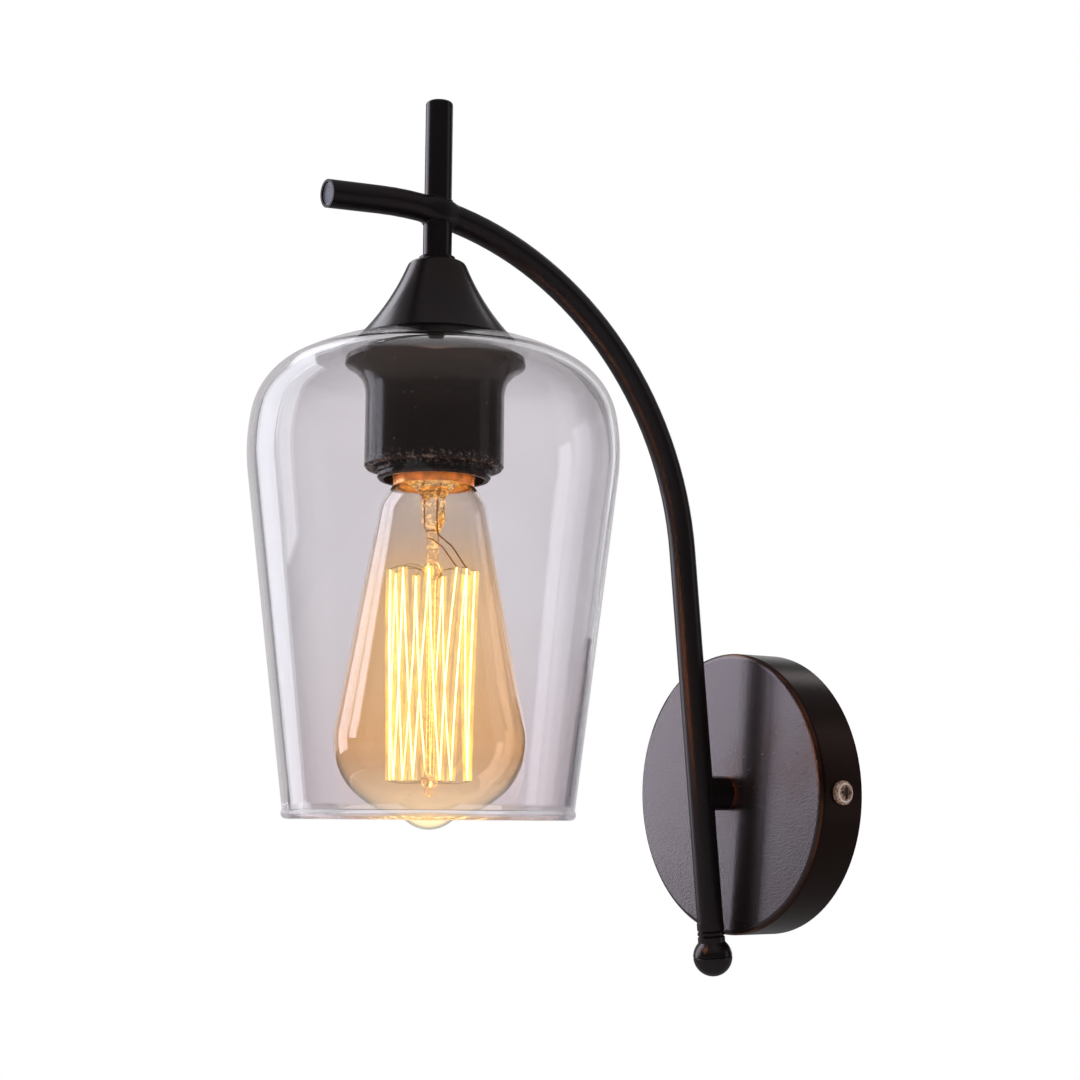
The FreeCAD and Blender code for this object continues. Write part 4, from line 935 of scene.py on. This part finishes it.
def strand(number):
    """One run of the filament, which bows a little between its hooks."""
    start, end = cage_corner(number), cage_corner(number + 1)
    bow = Vector((wander.uniform(-1, 1), wander.uniform(-1, 1), 0)) * STRAND_BOW
    shares = [part / STRAND_PARTS for part in range(STRAND_PARTS + 1)]
    return [start.lerp(end, share) + bow * math.sin(math.pi * share) for share in shares]


strands = [strand(number) for number in range(STRANDS)]
piece("filament_strands", strung("filament_strands", strands, STRAND_RADIUS, filament_hot,
                                 sides=8), "bulb", "filament", "bulb_filament")
piece("filament_glow", strung("filament_glow", strands, VEIL_RADIUS, near_halo), "bulb",
      "filament")

# %% The hooks round the beads, with Geometry Nodes
HOOK_WIRE, HOOK_EYE, HOOK_CREST, HOOK_STEPS, HOOK_SIDES = 0.13, 3.2, 0.72, 12, 8


def hook_recipe():
    """Set bent hooks, each with an eye at its end, all round a bead."""
    ring = Recipe("hook_ring", Count="Int", First="Float", Step="Float", Bead="Float",
                  Reach="Float", Rise="Float", Height="Float", Wire="Float")
    sized = ring.sized

    def place(x=0.0, y=0.0, z=0.0):
        return ring.node("ShaderNodeCombineXYZ", {"X": x, "Y": y, "Z": z})

    shank = ring.node("GeometryNodeCurveQuadraticBezier", {
        "Resolution": HOOK_STEPS, "Start": place(sized["Bead"]),
        "Middle": place(sized["Reach"] * HOOK_CREST, z=sized["Rise"]),
        "End": place(sized["Reach"])})
    eye = ring.node("GeometryNodeCurvePrimitiveCircle", {
        "Resolution": HOOK_STEPS, "Radius": sized["Wire"] * HOOK_EYE})
    upright = ring.node("GeometryNodeTransform", {
        "Geometry": eye, "Translation": place(sized["Reach"]),
        "Rotation": (math.pi / 2, 0.0, 0.0)})
    both = ring.node("GeometryNodeJoinGeometry", {"Geometry": shank})
    plug(ring.tree, both.socket.node.inputs["Geometry"], upright)
    spots = ring.node("GeometryNodeMeshLine", {
        "Count": sized["Count"], "Offset": (0.0, 0.0, 0.0)})
    index = ring.node("GeometryNodeInputIndex")
    ringed = ring.node("GeometryNodeInstanceOnPoints", {
        "Points": spots, "Instance": ring.swept(both, HOOK_SIDES, sized["Wire"]),
        "Rotation": place(z=index * sized["Step"] + sized["First"])})
    ring.served(ring.node("GeometryNodeTransform", {
        "Geometry": ringed, "Translation": place(y=PENDANT_Y * MM, z=sized["Height"])}))
    return ring


hooks = hook_recipe()
CAGE_STEP = CAGE_TURN / STRANDS
for name, first, count, bead_radius, reach, rise, height, replaced in (
        ("hooks_above", 2, STRANDS // 2 - 1, 2.6, CAGE_HIGH, 3.0, HOOKS_HIGH, ["bulb_hooks"]),
        ("hooks_below", 1, STRANDS // 2, 2.2, CAGE_LOW, -2.0, HOOKS_LOW, [])):
    hook_ring = settled(
        added(name, bpy.data.meshes.new(name)), name, hooks, Count=count,
        First=math.radians(CAGE_START + CAGE_STEP * first), Step=math.radians(2 * CAGE_STEP),
        Bead=bead_radius * MM, Reach=reach * MM, Rise=rise * MM, Height=height * MM,
        Wire=HOOK_WIRE * MM, Finish=nickel)
    piece(name, hook_ring, "bulb", "bright_wire", *replaced)

# %% The wires in the press
PRESS_ROUTE = ((4.2, 102.0), (2.4, 96.0), (2.4, 86.0))
PRESS_WIRE, PRESS_LEAVE, WIRE_ARCH = 0.28, (2.6, 0.4, 84.0), Vector((0, 0, 1.6))
wires = []
for side, number in ((-1, STRANDS), (1, 0)):
    end = cage_corner(number)
    leave = Vector((side * PRESS_LEAVE[0], PENDANT_Y + side * PRESS_LEAVE[1], PRESS_LEAVE[2]))
    wires.append([(side * across, PENDANT_Y, up) for across, up in PRESS_ROUTE]
                 + [leave, leave.lerp(end, 0.5) + WIRE_ARCH, end])
piece("press_wires", strung("press_wires", wires, PRESS_WIRE, copper_wire), "bulb",
      "bright_wire", "bulb_lead_wires")

# %% [markdown]
# ## Threads, welds and leads
# The cap and the shell are rolled from thin brass with a rounded thread, and the bulb's turn
# and drop follow that thread. Here it is a tube whose radius rises and falls with height and
# angle together, which gives a true helix with no seam, where a swept profile would leave its
# ends open. The stem and the rod are welded to the bent tube, and two insulated leads run
# through it from the connector to the lampholder's terminals.

# %% Rolled threads
PITCH, THREAD_STEP, THREAD_TURNS = 3.629, 0.24, 96


def rolled(name, wall, places, material):
    """Roll a thread into a thin tube. places are (height, radius, depth of the thread)."""
    steps = int((places[-1][0] - places[0][0]) / THREAD_STEP)
    heights = [places[0][0] + THREAD_STEP * number for number in range(steps + 1)]

    def size(up, column):
        for low, high in zip(places, places[1:]):
            if up <= high[0]:
                share = (up - low[0]) / (high[0] - low[0])
                return low[column] + share * (high[column] - low[column])
        return places[-1][column]

    def row(up, shift):
        angles = ring_angles(THREAD_TURNS)
        radii = [size(up, 1) + shift + size(up, 2) * math.cos(2 * math.pi * up / PITCH - angle)
                 for angle in angles]
        return [(radius * math.cos(angle) * MM,
                 (PENDANT_Y + radius * math.sin(angle)) * MM, up * MM)
                for radius, angle in zip(radii, angles)]

    rows = [row(up, 0.0) for up in heights] + [row(up, -wall) for up in reversed(heights)]
    return skinned(name, rows, material)


piece("rolled_cap", rolled("rolled_cap", 0.25, [
    (100.554, 13.60, 0.0), (103.3, 13.60, 0.0), (103.9, 12.65, 0.1), (105.6, 12.65, 0.42),
    (118.2, 12.65, 0.42), (119.8, 12.3, 0.1), (121.05, 11.1, 0.0)], cap_brass),
    "bulb", "brass", "bulb_screw_cap")
piece("rolled_shell", rolled("rolled_shell", 0.35, [
    (103.6, 13.9, 0.0), (105.4, 13.5, 0.40), (124.0, 13.5, 0.40), (126.0, 13.4, 0.0),
    (128.6, 13.2, 0.0), (128.85, 12.6, 0.0)], brass), "lamp", "brass", "screw_shell")

# %% Welds round the bent tube
ARM_CENTRE, ARM_BEND, ARM_RADIUS = Vector((-159.148, 75.778)), 120.7, 4.75
CROSSING = math.acos((PENDANT_Y - ARM_CENTRE.x) / ARM_BEND)
FILLED_REACH, FILLED_SIDE, FILLED_SQUARE, FILLED_SKIN = 6.6, 0.60, 1.8, 0.01
FILLED_INSIDE, FILLED_TURNS, FILLED_STEPS = 4.5, 64, 16
SADDLE_TURNS, SADDLE_WANDER, WELD_RADIUS = 96, 0.12, 0.4
ROD_WELD, STEM_WELD = 4.72, 4.95


def filled(along):
    """Weld metal fills the tube's sides at the crossing, so that its section is wider and
    squarer there: its half width, its half height and how square it is."""
    share = max(0.0, 1.0 - (along / FILLED_REACH) ** 2) ** 2
    return (ARM_RADIUS + FILLED_SKIN + FILLED_SIDE * share, ARM_RADIUS + FILLED_SKIN,
            2.0 + FILLED_SQUARE * share)


def section(along, sizes):
    """A ring round the bent tube, at a distance along it from the crossing."""
    wide, tall, square = sizes
    turn = CROSSING - along / ARM_BEND
    outward = Vector((math.cos(turn), math.sin(turn)))
    ring = []
    for angle in ring_angles(FILLED_TURNS):
        across, up = (size * math.copysign(abs(part) ** (2 / square), part)
                      for size, part in ((wide, math.cos(angle)), (tall, math.sin(angle))))
        middle = ARM_CENTRE + outward * (ARM_BEND + up)
        ring.append((across * MM, middle.x * MM, middle.y * MM))
    return ring


places = [FILLED_REACH * number / FILLED_STEPS
          for number in range(-FILLED_STEPS, FILLED_STEPS + 1)]
fill = [section(place, filled(place)) for place in places]
fill += [section(place, (FILLED_INSIDE, FILLED_INSIDE, 2.0)) for place in reversed(places)]
piece("weld_metal", skinned("weld_metal", fill, arm_lacquer), "lamp", "bronze_black")


def saddle(radius, side):
    """Where an upright round bar on the pendant's axis meets the filled tube."""
    spots = []
    for angle in ring_angles(SADDLE_TURNS):
        x, y = radius * math.cos(angle), PENDANT_Y + radius * math.sin(angle)
        wide, tall, square = filled(y - PENDANT_Y)
        up = tall * max(1.0 - abs(x / wide) ** square, 0.0) ** (1 / square)
        away = ARM_BEND + side * up + wander.uniform(-SADDLE_WANDER, SADDLE_WANDER)
        spots.append((x, y, ARM_CENTRE.y + (away ** 2 - (y - ARM_CENTRE.x) ** 2) ** 0.5))
    return spots


piece("weld_lines", strung("weld_lines", [saddle(ROD_WELD, 1), saddle(STEM_WELD, -1)],
                           WELD_RADIUS, black_bronze, True), "lamp", "bronze_black")

# %% The leads
BEND_STEP = 8.0


def bent(points, radii):
    """Round the corners of a path, each with its own radius."""
    spots = [points[0]]
    for before, corner, after, radius in zip(points, points[1:], points[2:], radii):
        arriving, leaving = (corner - before).normalized(), (after - corner).normalized()
        turn = arriving.angle(leaving)
        cut = radius * math.tan(turn / 2)
        inward = (leaving - arriving).normalized()
        centre = corner + inward * (radius / math.cos(turn / 2))
        first = corner - arriving * cut - centre
        count = max(2, math.ceil(math.degrees(turn) / BEND_STEP))
        hinge = arriving.cross(leaving).normalized()
        spots += [centre + Matrix.Rotation(turn * number / count, 3, hinge) @ first
                  for number in range(count + 1)]
    return spots + [points[-1]]


LEAD_APART, LEAD_DEEP, POLE_X, TERMINAL_X = 1.15, -10.4, 4.0, 8.0
LEAD_RADIUS, LEAD_SMALL = 0.88, 3.0
LEAD_ROUTE = (
    (POLE_X, LEAD_DEEP, 22.5), (POLE_X, LEAD_DEEP, 13.5), (LEAD_APART, LEAD_DEEP, 6.0),
    (LEAD_APART, LEAD_DEEP, 0.0), (LEAD_APART, -30.9, 0.0), (LEAD_APART, -47.612, 180.148),
    (LEAD_APART, PENDANT_Y, 195.91), (LEAD_APART, PENDANT_Y, 157.652),
    (TERMINAL_X, PENDANT_Y, 145.854), (TERMINAL_X, PENDANT_Y, 139.904))
LEAD_BENDS = [LEAD_SMALL] * 4 + [ARM_BEND] + [LEAD_SMALL] * 3
for lead, side, sleeve, colour in (("live", 1, brown_sleeve, "brown"),
                                   ("neutral", -1, blue_sleeve, "blue")):
    corners = [Vector((side * across, deep, up)) for across, deep, up in LEAD_ROUTE]
    name = lead + "_sleeve"
    piece(name, strung(name, [bent(corners, LEAD_BENDS)], LEAD_RADIUS, sleeve, sides=16),
          "lamp", colour + "_lead", lead + "_lead")
